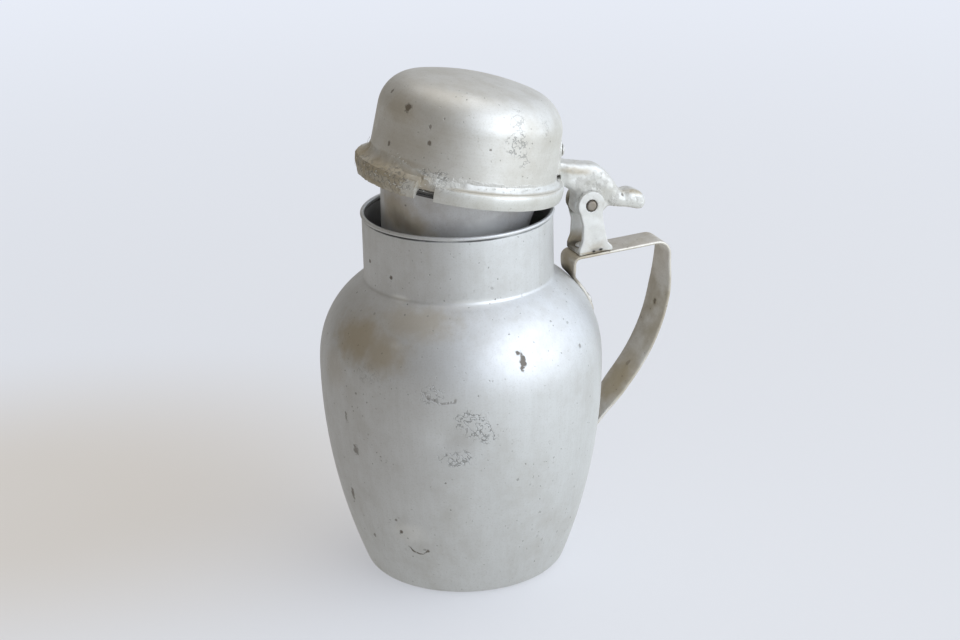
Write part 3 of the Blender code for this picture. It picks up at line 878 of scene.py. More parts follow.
def softened(name: str, node: str, grid: float, passes: int) -> bpy.types.Object:
    """Return a finer, rounder copy of a CAD node, as a casting comes out of its mould.

    Args:
        name: The new object's name.
        node: The CAD node.
        grid: Size of the new mesh's faces.
        passes: How often it is smoothed.

    Returns:
        The object, with a plain mesh.
    """
    mesh = frame["nodes"][node].data.copy()
    item = linked(name, mesh)
    tidy(mesh)
    remesh = item.modifiers.new("Grid", "REMESH")
    remesh.mode = "VOXEL"
    remesh.voxel_size = grid
    smoothing = item.modifiers.new("Soften", "SMOOTH")
    smoothing.factor = 0.5
    smoothing.iterations = passes
    settled(item)
    item.data.shade_smooth()
    return item


# ---------------------------------------------------------------- the vessel


@dataclass(frozen=True)
class Dent:
    """A shallow dent in a turned wall.

    Attributes:
        azimuth: Degrees from the hinge's side, anticlockwise from above.
        height: Of its middle.
        across: How far it reaches round the wall.
        upright: How far it reaches up the wall.
        depth: How deep it is.
    """

    azimuth: float
    height: float
    across: float
    upright: float
    depth: float

    def press(self, points: np.ndarray) -> np.ndarray:
        """Press the dent into a wall.

        Args:
            points: The wall's points, one row each.

        Returns:
            The points, with those near the dent moved towards the axis.
        """
        turned = np.arctan2(points[:, 1], points[:, 0]) - radians(self.azimuth)
        turned = (turned + pi) % (2 * pi) - pi
        reach = np.hypot(points[:, 0], points[:, 1])
        sideways = turned * reach / self.across
        upwards = (points[:, 2] - self.height) / self.upright
        amount = self.depth * np.exp(-(sideways**2 + upwards**2))
        share = np.where(reach > 0.01, 1.0 - amount / np.maximum(reach, 0.01), 1.0)
        moved = points.copy()
        moved[:, 0] *= share
        moved[:, 1] *= share
        return moved


@dataclass
class Vessel:
    """The spun body: a base, a belly, a shoulder and a straight neck with a curled rim."""

    belly_radius: float
    rim_height: float
    wall: float = 0.0012
    foot_corner: float = 0.0052
    flank_radius: float = 0.255
    belly_height: float = 0.096
    neck_radius: float = 0.0419
    neck_bottom: float = 0.136
    squareness: float = 2.3
    crease_radius: float = 0.0020
    bead_radius: float = 0.0009
    seam_depth: float = 0.0005
    base_hollow: float = 0.0010
    hollow_flat: float = 0.030
    hollow_edge: float = 0.040
    segments: int = 256
    dents: tuple[Dent, ...] = (
        Dent(244.0, 0.082, 0.0095, 0.0075, 0.0017),
        Dent(222.0, 0.030, 0.012, 0.010, 0.0005),
        Dent(259.0, 0.050, 0.012, 0.026, 0.0007),
        Dent(205.0, 0.126, 0.020, 0.010, 0.0006),
        Dent(100.0, 0.088, 0.018, 0.014, 0.0009),
        Dent(35.0, 0.060, 0.012, 0.016, 0.0006),
        Dent(300.0, 0.118, 0.022, 0.012, 0.0005),
    )

    def outline(self, fine: int = 4) -> list[Point]:
        """Draw the outer outline.

        Args:
            fine: How many points its stretches have.

        Returns:
            The points, from the base's centre out and up to the crease.
        """
        side = (self.belly_radius - self.flank_radius, self.belly_height)
        reach = self.flank_radius - self.foot_corner
        lean = -asin((self.belly_height - self.foot_corner) / reach)
        foot_centre = (side[0] + reach * cos(lean), self.foot_corner)
        foot = arc(foot_centre, self.foot_corner, -pi / 2, lean, 3 * fine)
        flank = arc(side, self.flank_radius, lean, 0.0, 8 * fine)
        rise = self.neck_bottom - self.belly_height
        power = self.squareness
        full = rise / (1 - (self.neck_radius / self.belly_radius) ** power) ** (1 / power)
        steps = 9 * fine
        shoulder = []
        for i in range(1, steps + 1):
            height = rise * sin(pi / 2 * i / steps)
            radius = self.belly_radius * (1 - (height / full) ** power) ** (1 / power)
            shoulder.append((radius, self.belly_height + height))
        return [(0.0, 0.0)] + foot + flank[1:] + shoulder

    def wall_point(self, height: float, distance: float) -> tuple[Vector, Vector]:
        """Find a point beside the wall, on the hinge's side.

        Args:
            height: Where on the wall.
            distance: How far outside it.

        Returns:
            The point, and the wall's normal there.
        """
        line = self.outline()
        for (x0, z0), (x1, z1) in zip(line, line[1:]):
            if z0 < height <= z1:
                x = x0 + (x1 - x0) * (height - z0) / (z1 - z0)
                normal = Vector((z1 - z0, 0.0, x0 - x1)).normalized()
                return Vector((x, 0.0, height)) + normal * distance, normal
        raise ValueError(f"no wall at height {height}")

    def hollow(self, radius: float) -> float:
        """Return how far the base is sunk at a radius."""
        return self.base_hollow * (1 - smooth(radius, self.hollow_flat, self.hollow_edge))

    def section(self) -> list[Point]:
        """Draw the whole section.

        Returns:
            The points, from the inside's centre up, over the rim and down the outside.
        """
        crease = (self.neck_radius, self.neck_bottom)
        line = self.outline()
        below = [p for p in line if hypot(p[0] - crease[0], p[1] - crease[1]) > 1.3 * self.crease_radius]
        top = self.rim_height - 2 * self.bead_radius
        outside = below + fillet(below[-1], crease, (self.neck_radius, top), self.crease_radius, 6)
        outside += [(self.neck_radius, z) for z in np.linspace(self.neck_bottom + 0.004, top - 0.0010, 9)]
        bead = (self.neck_radius - self.wall + self.bead_radius, self.rim_height - self.bead_radius)
        outside += [
            (self.neck_radius - 0.1 * self.seam_depth, top - 0.0005),
            (self.neck_radius - self.seam_depth, top - 0.0001),
            (self.neck_radius - self.seam_depth, top + 0.0002),
        ]
        curl = arc(bead, self.bead_radius, -0.6, pi, 12)
        inside = offset([(0.0, 0.0)] + line[1:], -self.wall)
        inside[0] = (0.0, self.wall)
        rings = (0.0, 0.015, 0.030, 0.034, 0.038)
        underside = [(x, self.hollow(x)) for x in (*rings, 0.042)]
        outer = underside + [p for p in outside[1:] if p[0] > 0.0421 or p[1] > 0.02]
        inner = [(x, self.wall + self.hollow(x)) for x in rings]
        inner += [p for p in inside[1:] if p[0] > 0.0400 or p[1] > 0.02][::2]
        inner += [(self.neck_radius - self.wall, z) for z in (0.140, 0.150, self.rim_height - 0.002)]
        return [(float(x), float(z)) for x, z in inner + curl[::-1] + outer[::-1]]

    def build(self, lathe: Lathe) -> None:
        """Turn the body, dent it, and hand it over.

        Args:
            lathe: The lathe.
        """
        paint = VESSEL_METAL.material(UNMOVED)
        body = lathe.turn("vessel_body", self.section(), self.segments, paint)
        points = points_of(body.data)
        for dent in self.dents:
            points = dent.press(points)
        move_points(body.data, points)
        handed_over(body, "vessel", ("vessel",), paint)


# ---------------------------------------------------------------- rivets


@dataclass
class Rivets:
    """Round-headed rivets, all made from one turned shape."""

    paint: bpy.types.Material
    head_radius: float = 0.0029
    head_height: float = 0.0012
    shank_radius: float = 0.0016
    tail_radius: float = 0.0024
    tail_height: float = 0.0009
    gap: float = 0.0003
    segments: int = 32

    def shape(self, lathe: Lathe, grip: float) -> bpy.types.Object:
        """Turn one rivet with a small dimple from the hammer.

        Args:
            lathe: The lathe.
            grip: Thickness of what it holds.

        Returns:
            The rivet on the origin, its head up.
        """
        low, high = self.gap, self.gap + self.head_height
        head = [(0.0, high - 0.00035), (0.0005, high - 0.00028), (0.0009, high - 0.00006)]
        head += [
            (self.head_radius * sin(t), low + self.head_height * cos(t) ** 0.8)
            for t in np.linspace(0.42, pi / 2, 9)
        ]
        tail = -grip - self.gap
        outline = head + [
            (self.shank_radius, low),
            (self.shank_radius, tail),
            (self.tail_radius, tail),
            (self.tail_radius * 0.95, tail - self.tail_height * 0.6),
            (self.tail_radius * 0.6, tail - self.tail_height),
            (0.0, tail - self.tail_height),
        ]
        return lathe.turn("rivet_shape", outline, self.segments, self.paint)

    def build(
        self, name: str, lathe: Lathe, scatter: Scatter, grip: float, seats: list[Seat]
    ) -> bpy.types.Object:
        """Set a group of rivets through what is grip thick, as one object."""
        return scatter.place(name, self.shape(lathe, grip), seats, self.paint)


# ---------------------------------------------------------------- the handle


@dataclass
class Handle:
    """One bent strip, riveted to the shoulder and to the lower wall."""

    vessel: Vessel
    width: float = 0.0156
    thickness: float = 0.0014
    gap: float = 0.0003
    tab_drop: float = 0.0191
    riser_standoff: float = 0.0106
    top_rise: float = 0.0010
    top_slope: float = radians(3.0)
    grip_reach: float = 0.0370
    grip_lean: float = radians(4.0)
    corner_drop: float = 0.0427
    lower_top: float = 0.052
    lower_end: float = 0.033
    foot_bend: float = 0.0030
    riser_bend: float = 0.0030
    far_bend: float = 0.0060
    grip_bend: float = 0.083
    tab_bend: float = 0.0040
    rivet_drop: float = 0.0144
    wall_rivets: tuple[float, ...] = (0.0465, 0.0375)
    spacing: float = 0.0010
    tab_twist: float = radians(5.5)
    grip_twist: float = radians(12.0)
    end_corner: float = 0.0050
    waver: float = 0.00012

    @property
    def riser_x(self) -> float:
        """The upright stretch's place."""
        return self.vessel.neck_radius + self.riser_standoff

    def height(self, x: float) -> float:
        """Return the height of the strip's middle along its top run."""
        return self.vessel.neck_bottom + self.top_rise + (x - self.riser_x) * tan(self.top_slope)

    def riser_foot(self) -> float:
        """Find where the strip leaves the shoulder for the riser.

        Returns:
            The height of the strip's middle there.
        """
        line = offset(self.vessel.outline(), self.gap + self.thickness / 2)
        for (x0, z0), (x1, z1) in reversed(list(zip(line, line[1:]))):
            if x1 <= self.riser_x < x0:
                return z0 + (z1 - z0) * (x0 - self.riser_x) / (x0 - x1)
        raise ValueError("the riser misses the shoulder")

    def path(self) -> list[Point]:
        """Draw the strip's middle line.

        Returns:
            The points, from the shoulder tab's end to the lower tab's end.
        """
        middle = self.gap + self.thickness / 2
        foot = self.riser_foot()
        tab_end = self.vessel.wall_point(foot - self.tab_drop, middle)[0]
        tab = [p for p in offset(self.vessel.outline(), middle) if foot - self.tab_drop < p[1] < foot - 0.002]
        reach_x = self.vessel.belly_radius + self.grip_reach
        lower = self.vessel.wall_point(self.lower_top, middle)[0]
        lower_end = self.vessel.wall_point(self.lower_end, middle)[0]
        grip = (reach_x - self.corner_drop * tan(self.grip_lean), self.height(reach_x) - self.corner_drop)
        corners = [
            ((self.riser_x, foot), self.foot_bend),
            ((self.riser_x, self.height(self.riser_x)), self.riser_bend),
            ((reach_x, self.height(reach_x)), self.far_bend),
            (grip, self.grip_bend),
            ((lower.x, lower.z), self.tab_bend),
        ]
        places = [tab[-1]] + [corner for corner, _ in corners] + [(lower_end.x, lower_end.z)]
        line = [(tab_end.x, tab_end.z)] + tab
        for i, (corner, radius) in enumerate(corners):
            line += fillet(places[i], corner, places[i + 2], radius, 10)
        return line + [(lower_end.x, lower_end.z)]

    def twist(self, place: np.ndarray, reach: float) -> float:
        """Return how far the strip is bent out of true.

        Args:
            place: A point on its middle line.
            reach: The point's distance from the shoulder tab's end.

        Returns:
            The angle.
        """
        bent = self.tab_twist * (1.0 - smooth(reach, self.tab_drop, self.tab_drop + 0.006))
        grip = smooth(place[1], self.lower_top + 0.004, self.lower_top + 0.020)
        grip *= smooth(place[1], 0.134, 0.112) * (place[0] > self.vessel.belly_radius)
        return bent + self.grip_twist * grip

    def build_strip(self) -> None:
        """Sweep the strip's rounded section along its path, with round ends."""
        line = resampled(self.path(), self.spacing)
        run = np.concatenate([[0.0], np.cumsum(np.hypot(*np.diff(line, axis=0).T))])
        along = np.gradient(line, axis=0)
        along /= np.hypot(*along.T)[:, None]
        normal = np.column_stack([along[:, 1], -along[:, 0]])
        half, edge = self.width / 2, self.thickness / 2
        flat = half - edge
        turn = np.linspace(0.0, pi, 7)
        right = [(flat + edge * sin(t), edge * cos(t)) for t in turn]
        left = [(-flat - edge * sin(t), -edge * cos(t)) for t in turn]
        section = np.array(right + left)
        rings = []
        for place, out, reach in zip(line, normal, run):
            corner = self.end_corner
            inset = max(0.0, corner - min(reach, run[-1] - reach))
            share = max(0.16, 1.0 - (corner - (corner**2 - inset**2) ** 0.5) / half)
            waver = self.waver * noise.noise(Vector((reach * 60.0, 3.0, 0.0)))
            twist = self.twist(place, reach)
            ring = []
            for u, v in section:
                lift = v + waver + u * share * sin(twist)
                ring.append((place[0] + out[0] * lift, u * share * cos(twist), place[1] + out[1] * lift))
            rings.append(ring)
        strip = loft("handle_strip", np.array(rings), joined=False)
        paint = STRIP_METAL.material(UNMOVED)
        handed_over(strip, "vessel", ("handle_strap",), paint)

    def rivet_seats(self) -> list[Seat]:
        """Place the rivets that hold the strip.

        Returns:
            The place, direction and size of each.
        """
        outer = self.gap + self.thickness
        heights = (self.riser_foot() - self.rivet_drop, *self.wall_rivets)
        return [(*self.vessel.wall_point(height, outer), SAME_SIZE) for height in heights]


# ---------------------------------------------------------------- the hinge


@dataclass
class Hinge:
    """The clevis on the strip, its pin, and the rivets through its foot."""

    handle: Handle
    pin: Vector
    pin_radius: float = 0.0025
    pin_end: float = 0.0006
    width: float = 0.0152
    foot_back: float = 0.0059
    foot_front: float = 0.0102
    foot_thickness: float = 0.0020
    rivet_spacing: float = 0.0075
    grid: float = 0.00036

    def build_bracket(self) -> None:
        """Soften the clevis and give it a sandy skin."""
        bracket = softened("hinge_clevis", "hinge_bracket", self.grid, 4)
        roughen(bracket.data, 0.00022, 240.0, 4.0)
        paint = CLEVIS_METAL.material(Matrix.Translation((self.pin.x, 0.0, 0.0)))
        handed_over(bracket, "vessel", ("hinge_bracket",), paint)

    def build_pin(self, lathe: Lathe) -> None:
        """Turn the pin, with peened ends, and lay it across.

        Args:
            lathe: The lathe.
        """
        half = self.width / 2 + self.pin_end
        radius = self.pin_radius
        dome = [(0.0, 0.0), (0.45, -0.00005), (0.74, -0.00012)]
        groove = [(0.83, -0.0003), (0.85, -0.0010), (0.93, -0.0010)]
        outline = [(radius * r, half + z) for r, z in dome + groove]
        outline += [(radius, half - 0.0007), (radius, 0.0)]
        outline += [(r, -z) for r, z in outline[::-1][1:]]
        paint = PIN_METAL.material(Matrix.Translation(self.pin))
        pin = lathe.turn("hinge_pivot", outline, 40, paint)
        pin.data.transform(Matrix.Translation(self.pin) @ Matrix.Rotation(pi / 2, 4, "X"))
        handed_over(pin, "vessel", ("hinge_pin",), paint)

    def rivet_seats(self) -> list[Seat]:
        """Place the rivets between the ears.

        Returns:
            The place, direction and size of each.
        """
        slope = self.handle.top_slope
        normal = Vector((-sin(slope), 0.0, cos(slope)))
        middle = self.pin.x + (self.foot_front - self.foot_back) / 2
        rise = self.foot_thickness + self.handle.gap + self.handle.thickness / 2
        seats = []
        for side in (-1, 1):
            x = middle + side * self.rivet_spacing / 2
            seats.append((Vector((x, 0.0, self.handle.height(x))) + normal * rise, normal, SAME_SIZE))
        return seats


# ---------------------------------------------------------------- the lid


@dataclass
class Lid:
    """The dome, the sleeve under it, and the rolled band that clasps both."""

    vessel: Vessel
    ajar: Matrix
    wall: float = 0.0010
    gap: float = 0.0003
    seat_gap: float = 0.0004
    offset_x: float = -0.0006
    dome_inset: float = 0.0005
    taper: float = 0.0010
    wall_height: float = 0.0286
    corner_radius: float = 0.0165
    corner_angle: float = radians(75.0)
    skew: float = 0.00115
    skew_drop: float = 0.56
    sleeve_clearance: float = 0.0055
    sleeve_taper: float = 0.0046
    sleeve_depth: float = 0.0270
    lip_radius: float = 0.0435
    band_inner: float = 0.0439
    break_azimuth: float = radians(230.0)
    break_width: float = radians(8.6)
    dome_segments: int = 224
    sleeve_segments: int = 192
    band_steps: int = 560
    crust_grains: int = 700
    dents: tuple[Dent, ...] = (
        Dent(283.0, 0.196, 0.009, 0.008, 0.00035),
        Dent(212.0, 0.192, 0.012, 0.009, 0.00035),
        Dent(120.0, 0.190, 0.013, 0.010, 0.0005),
    )

    @property
    def seat_z(self) -> float:
        """Underside of the closed lid."""
        return self.vessel.rim_height + self.seat_gap

    @property
    def flange_z(self) -> float:
        """Underside of the dome's flange."""
        return self.seat_z + self.wall + self.gap

    @property
    def dome_radius(self) -> float:
        """Outer radius of the dome's foot."""
        return self.vessel.neck_radius - self.dome_inset

    @property
    def corner_z(self) -> float:
        """Height at which the dome's wall starts to turn in."""
        return self.vessel.rim_height + self.wall_height

    def dome_wall(self, height: float) -> float:
        """Return the dome's outer radius at a height of its wall."""
        low = self.flange_z + self.wall
        return self.dome_radius - self.taper * (height - low) / (self.corner_z - low)

    def dome_outline(self) -> list[Point]:
        """Draw the dome's outer outline.

        Returns:
            The points, from its top down to the flange.
        """
        top_radius = self.dome_radius - self.taper
        corner_centre = (top_radius - self.corner_radius, self.corner_z)
        corner = arc(corner_centre, self.corner_radius, self.corner_angle, 0.0, 26)
        slope = pi / 2 - self.corner_angle
        crown_radius = corner[0][0] / sin(slope)
        crown_z = corner[0][1] - crown_radius * cos(slope)
        crown = arc((0.0, crown_z), crown_radius, pi / 2, self.corner_angle, 16)
        low = self.flange_z + self.wall
        side = [(self.dome_wall(z), z) for z in np.linspace(self.corner_z, low, 16)[1:]]
        return crown[:-1] + corner + side

    def placed(self, item: bpy.types.Object) -> bpy.types.Object:
        """Turn a closed lid's piece to where the frame holds it."""
        item.data.transform(self.ajar)
        return item

    def paint_place(self) -> Matrix:
        """Return where the lid's own axis lies, for its material."""
        return self.ajar @ Matrix.Translation((self.offset_x, 0.0, 0.0))

    def build_dome(self, lathe: Lathe) -> None:
        """Turn the dome, lean its crown back and dent it a little.

        Args:
            lathe: The lathe.
        """
        outside = self.dome_outline()
        inside = offset(outside, self.wall)[::-1]
        inside[-1] = (0.0, outside[0][1] - self.wall)
        inside[0] = (self.dome_radius - self.wall, self.flange_z)
        edge = self.band_inner - self.gap
        flange = [(edge, self.flange_z + self.wall), (edge, self.flange_z)]
        paint = DOME_METAL.material(self.paint_place())
        dome = lathe.turn("dome_shell", outside + flange + inside, self.dome_segments, paint)
        points = points_of(dome.data)
        lift = self.skew * smooth(points[:, 2], 0.184, 0.206)
        points[:, 2] -= lift * (points[:, 0] / self.dome_radius + self.skew_drop)
        for dent in self.dents:
            points = dent.press(points)
        move_points(dome.data, points)
        dome.data.transform(Matrix.Translation((self.offset_x, 0.0, 0.0)))
        handed_over(self.placed(dome), "lid", ("lid_dome",), paint)

    def build_sleeve(self, lathe: Lathe) -> None:
        """Turn the tapered sleeve with its flange.

        Args:
            lathe: The lathe.
        """
        bottom = self.vessel.rim_height - self.sleeve_depth
        top = self.seat_z + self.wall
        wide = self.vessel.neck_radius - self.vessel.wall - self.sleeve_clearance
        narrow = wide - self.sleeve_taper
        edge = self.band_inner - self.gap
        heights = np.linspace(self.seat_z - 0.0012, bottom, 18)
        outer = [(wide + (narrow - wide) * (self.seat_z - z) / (self.seat_z - bottom), z) for z in heights]
        inner = [(r - self.wall, z) for r, z in outer[::-1]]
        outline = [(edge, top), (edge, self.seat_z)]
        outline += [(wide + 0.0012, self.seat_z), (wide + 0.0003, self.seat_z - 0.0003)]
        outline += outer + [(narrow - self.wall / 2, bottom - 0.0002)] + inner
        outline += [(wide - self.wall + 0.0006, top)]
        paint = SLEEVE_METAL.material(self.paint_place())
        sleeve = lathe.turn("sleeve_tube", outline, self.sleeve_segments, paint, True, self.offset_x)
        handed_over(self.placed(sleeve), "lid", ("lid_sleeve",), paint)

    def band_section(self, crusty: float, cut: float, top: float) -> np.ndarray:
        """Return the band's section.

        Args:
            crusty: 0 where the band is smooth, 1 where it is swollen with corrosion.
            cut: 1 where its lower part is broken away.
            top: Height of the edge that lies on the dome.

        Returns:
            Points (radius, height) around the section, anticlockwise from the upper edge.
        """
        bottom = self.vessel.rim_height - 0.0007
        roof = self.flange_z + self.wall + self.gap
        wall = self.dome_wall(top) - 0.0001
        foot = self.dome_wall(roof) + self.gap
        neat = [
            (wall + 0.00005, top), (wall + 0.0003, top - 0.0007), (wall + 0.0007, top - 0.0014),
            (0.0427, 0.1722), (0.0433, 0.1719), (0.0439, 0.1720), (0.0444, 0.1721), (0.0449, 0.1715),
            (0.0452, 0.1703), (0.0452, 0.1682), (0.0448, 0.1665), (0.0444, bottom + 0.0001),
            (0.0439, bottom), (self.lip_radius, bottom + 0.0002),
        ]
        rough = [
            (wall + 0.0001, top), (wall + 0.0005, top - 0.0015), (wall + 0.0012, top - 0.0030),
            (0.0434, 0.1743), (0.0444, 0.1736), (0.0454, 0.1733), (0.0462, 0.1731), (0.0467, 0.1721),
            (0.0467, 0.1701), (0.0463, 0.1682), (0.0455, 0.1667), (0.0449, bottom - 0.0001),
            (0.0443, bottom - 0.0003), (self.lip_radius + 0.0002, bottom + 0.0001),
        ]
        stub = [
            (wall + 0.00005, top), (wall + 0.0005, top - 0.0003), (wall + 0.0009, top - 0.0010),
            (0.0425, 0.1728), (0.0428, 0.1721), (0.0431, 0.1714), (0.0433, 0.1707), (0.0434, 0.1701),
            (0.0433, 0.1696), (0.0431, 0.1693), (0.0428, 0.1692), (0.0425, 0.1692),
            (0.0422, 0.1693), (0.0420, 0.1694),
        ]
        inner = [
            (self.lip_radius, self.seat_z - self.gap), (self.band_inner, self.seat_z - self.gap),
            (self.band_inner, roof), (foot, roof), (self.dome_wall(0.1728) + self.gap, 0.1728),
            (wall, top - 0.0006),
        ]
        inner_stub = [
            (0.0419, 0.1696), (0.0418, 0.1700), (0.0418, 0.1706), (0.0417, 0.1716),
            (self.dome_wall(0.1728) + self.gap, 0.1730), (wall, top - 0.0006),
        ]
        whole = np.array(neat + inner) * (1 - crusty) + np.array(rough + inner) * crusty
        return whole * (1 - cut) + np.array(stub + inner_stub) * cut

    def crustiness(self, azimuth: float) -> float:
        """Return how far the corrosion has swollen the band at an azimuth in degrees, 0 to 360."""
        rise = smooth(azimuth, 112.0, 140.0)
        return rise * (1.0 if azimuth < degrees(self.break_azimuth) else 0.0)

    def band_top(self, azimuth: float) -> float:
        """Find the band's upper edge, which the corrosion lifts on one side.

        Args:
            azimuth: Degrees, from 0 to 360.

        Returns:
            Its height.
        """
        aside = abs((azimuth + 180.0) % 360.0 - 180.0)
        plain = 0.1729 + 0.0019 * smooth(aside, 14.0, 26.0)
        swollen = smooth(azimuth, 120.0, 150.0) * smooth(azimuth, 229.0, 204.0)
        return plain + 0.0038 * swollen

    def band_ring(self, angle: float) -> list[tuple[float, float, float]]:
        """Make one ring of the band, with its ragged edge and its lumps.

        Args:
            angle: Where it is around the dome.

        Returns:
            The ring's points.
        """
        azimuth = degrees(angle)
        crusty = self.crustiness(azimuth)
        away = abs(angle - self.break_azimuth) - self.break_width / 2
        cut = 1.0 if away < 0 else 0.0
        worn = crusty * (0.5 + 0.5 * noise.noise(Vector((azimuth * 0.35, 7.0, 0.0))))
        top = self.band_top(azimuth) + 0.0005 * noise.noise(Vector((azimuth * 0.22, 1.0, 0.0)))
        section = self.band_section(crusty, cut, top)
        if not cut:
            ragged = 0.0010 * worn * noise.noise(Vector((azimuth * 0.55, 3.0, 2.0)))
            section[10:14, 1] += ragged - 0.0004 * worn
        ring = []
        for j, (radius, height) in enumerate(section):
            bump = 0.0
            if 1 <= j <= 12:
                spot = Vector((radius * cos(angle), radius * sin(angle), height))
                bump = (0.00005 + 0.00038 * crusty) * noise.noise(spot * 330.0)
                bump += 0.00030 * crusty * noise.noise(spot * 120.0)
            lag = 0.0
            if crusty and azimuth > 218.0:
                lag = radians(2.2) * (0.1765 - height) / 0.011 * smooth(azimuth, 218.0, 226.0)
            reach = radius + bump
            ring.append((reach * cos(angle - lag) + self.offset_x, reach * sin(angle - lag), height))
        return ring

    def build_band(self) -> None:
        """Loft the band around the dome, swollen at one side and broken in front."""
        rings = [self.band_ring(2 * pi * i / self.band_steps) for i in range(self.band_steps)]
        band = loft("rim_band", np.array(rings), joined=True)
        paint = BAND_METAL.material(self.paint_place())
        handed_over(self.placed(band), "lid", ("lid_rim_band",), paint)

    def build_crust(self, scatter: Scatter) -> None:
        """Scatter grains of white crust along the band's cove and over its swollen side.

        Args:
            scatter: What sets the grains in place.
        """
        dice = np.random.default_rng(11)
        seats = []
        for _ in range(self.crust_grains):
            azimuth = dice.uniform(0.0, 360.0)
            crusty = self.crustiness(azimuth)
            top = self.band_top(azimuth)
            near_break = 0.75 if 226.0 < azimuth < 300.0 else 0.30
            if crusty < 0.5 and dice.random() > near_break:
                continue
            height = top + dice.normal(0.0, 0.0009)
            radius = self.dome_wall(height)
            if height < top - 0.0005:
                radius += 0.0011
            if crusty > 0.5 and dice.random() < 0.55:
                radius, height = (0.0466, dice.uniform(0.1680, 0.1725))
            if min(azimuth, 360.0 - azimuth) < 16.0:
                continue
            angle = radians(azimuth)
            place = Vector((radius * cos(angle) + self.offset_x, radius * sin(angle), height))
            across = dice.uniform(0.00008, 0.00030)
            size = Vector((across * dice.uniform(0.7, 1.5), across, across * dice.uniform(0.20, 0.45)))
            direction = Vector((cos(angle), sin(angle), dice.normal(0.1, 0.2)))
            seats.append((place, direction, size))
        bpy.ops.mesh.primitive_ico_sphere_add(subdivisions=2, radius=1.0)
        grain = bpy.context.object
        roughen(grain.data, 0.5, 1.4, 2.0)
        paint = CRUST_GRAIN.material(self.paint_place())
        crust = scatter.place("band_crust", grain, seats, paint)
        handed_over(self.placed(crust), "lid", (), paint)


@dataclass
class Lever:
    """The casting that joins the dome to the hinge and ends in a thumb tab."""

    lid: Lid
    pin: Vector
    grid: float = 0.00038
    pad_thickness: float = 0.0023
    pad_bottom: float = 0.1735
    rivet_spacing: float = 0.0078
    rivet_rise: float = 0.0108
    pillow_reach: float = 0.0042
    pillow_edge: float = 0.58
    pillow_swell: float = 0.14
    dimples: tuple[tuple[float, float, float], ...] = (
        (0.0176, 0.0021, 0.0012),
        (-0.0020, 0.0098, 0.0007),
        (0.0090, -0.0005, 0.0006),
    )
    dimple_y: float = 0.0046
    dimple_reach: float = 0.0014

    def build(self) -> None:
        """Soften the casting, swell its sides, press its dimple and roughen its skin."""
        arm = softened("lever_casting", "hinge_arm", self.grid, 9)
        points = points_of(arm.data)
        local = points - np.array(self.pin)
        points[:, 1] *= self.fullness(arm.data, local)
        for x, z, depth in self.dimples:
            for side in (-1, 1):
                hollow = np.array(self.pin) + np.array((x, self.dimple_y * side, z))
                near = np.exp(-(np.linalg.norm(points - hollow, axis=1) / self.dimple_reach) ** 2)
                points[:, 1] -= side * depth * near
        move_points(arm.data, points)
        roughen(arm.data, 0.00060, 150.0, 9.0)
        roughen(arm.data, 0.00014, 420.0, 2.0)
        paint = LEVER_METAL.material(self.lid.ajar @ Matrix.Translation((self.pin.x, 0.0, 0.0)))
        handed_over(arm, "lid", ("hinge_arm",), paint)

    def fullness(self, mesh: bpy.types.Mesh, local: np.ndarray) -> np.ndarray:
        """Return how much of its width the casting keeps at each point, which rounds its sides.

        Args:
            mesh: The casting.
            local: Its points, measured from the hinge's pin.

        Returns:
            One factor for each point.
        """
        edge = [v.co for v in mesh.vertices if abs(v.normal.y) < 0.4]
        tree = KDTree(len(edge))
        for i, spot in enumerate(edge):
            tree.insert((spot.x, 0.0, spot.z), i)
        tree.balance()
        inset = np.array([tree.find((v.co.x, 0.0, v.co.z))[2] for v in mesh.vertices])
        share = np.clip(inset / self.pillow_reach, 0.0, 1.0)
        round_side = self.pillow_edge + (1.0 - self.pillow_edge) * (1.0 - (1.0 - share) ** 2) ** 0.5
        swell = 1.0 + self.pillow_swell * smooth(np.hypot(local[:, 0], local[:, 2]), 0.0075, 0.0110)
        rounded = smooth(local[:, 0], -0.0145, -0.0100)
        return 1.0 + (round_side * swell - 1.0) * rounded

    def rivet_seats(self) -> list[Seat]:
        """Place the rivets through the pad, with the lid closed.

        Returns:
            The place, direction and size of each.
        """
        height = self.pad_bottom + self.rivet_rise
        outer = self.lid.dome_wall(height) + self.lid.gap + self.pad_thickness
        seats = []
        for side in (-1, 1):
            azimuth = side * self.rivet_spacing / 2 / outer
            normal = Vector((cos(azimuth), sin(azimuth), 0.0))
            seats.append((normal * outer + Vector((self.lid.offset_x, 0.0, height)), normal, SAME_SIZE))
        return seats


# ---------------------------------------------------------------- the studio


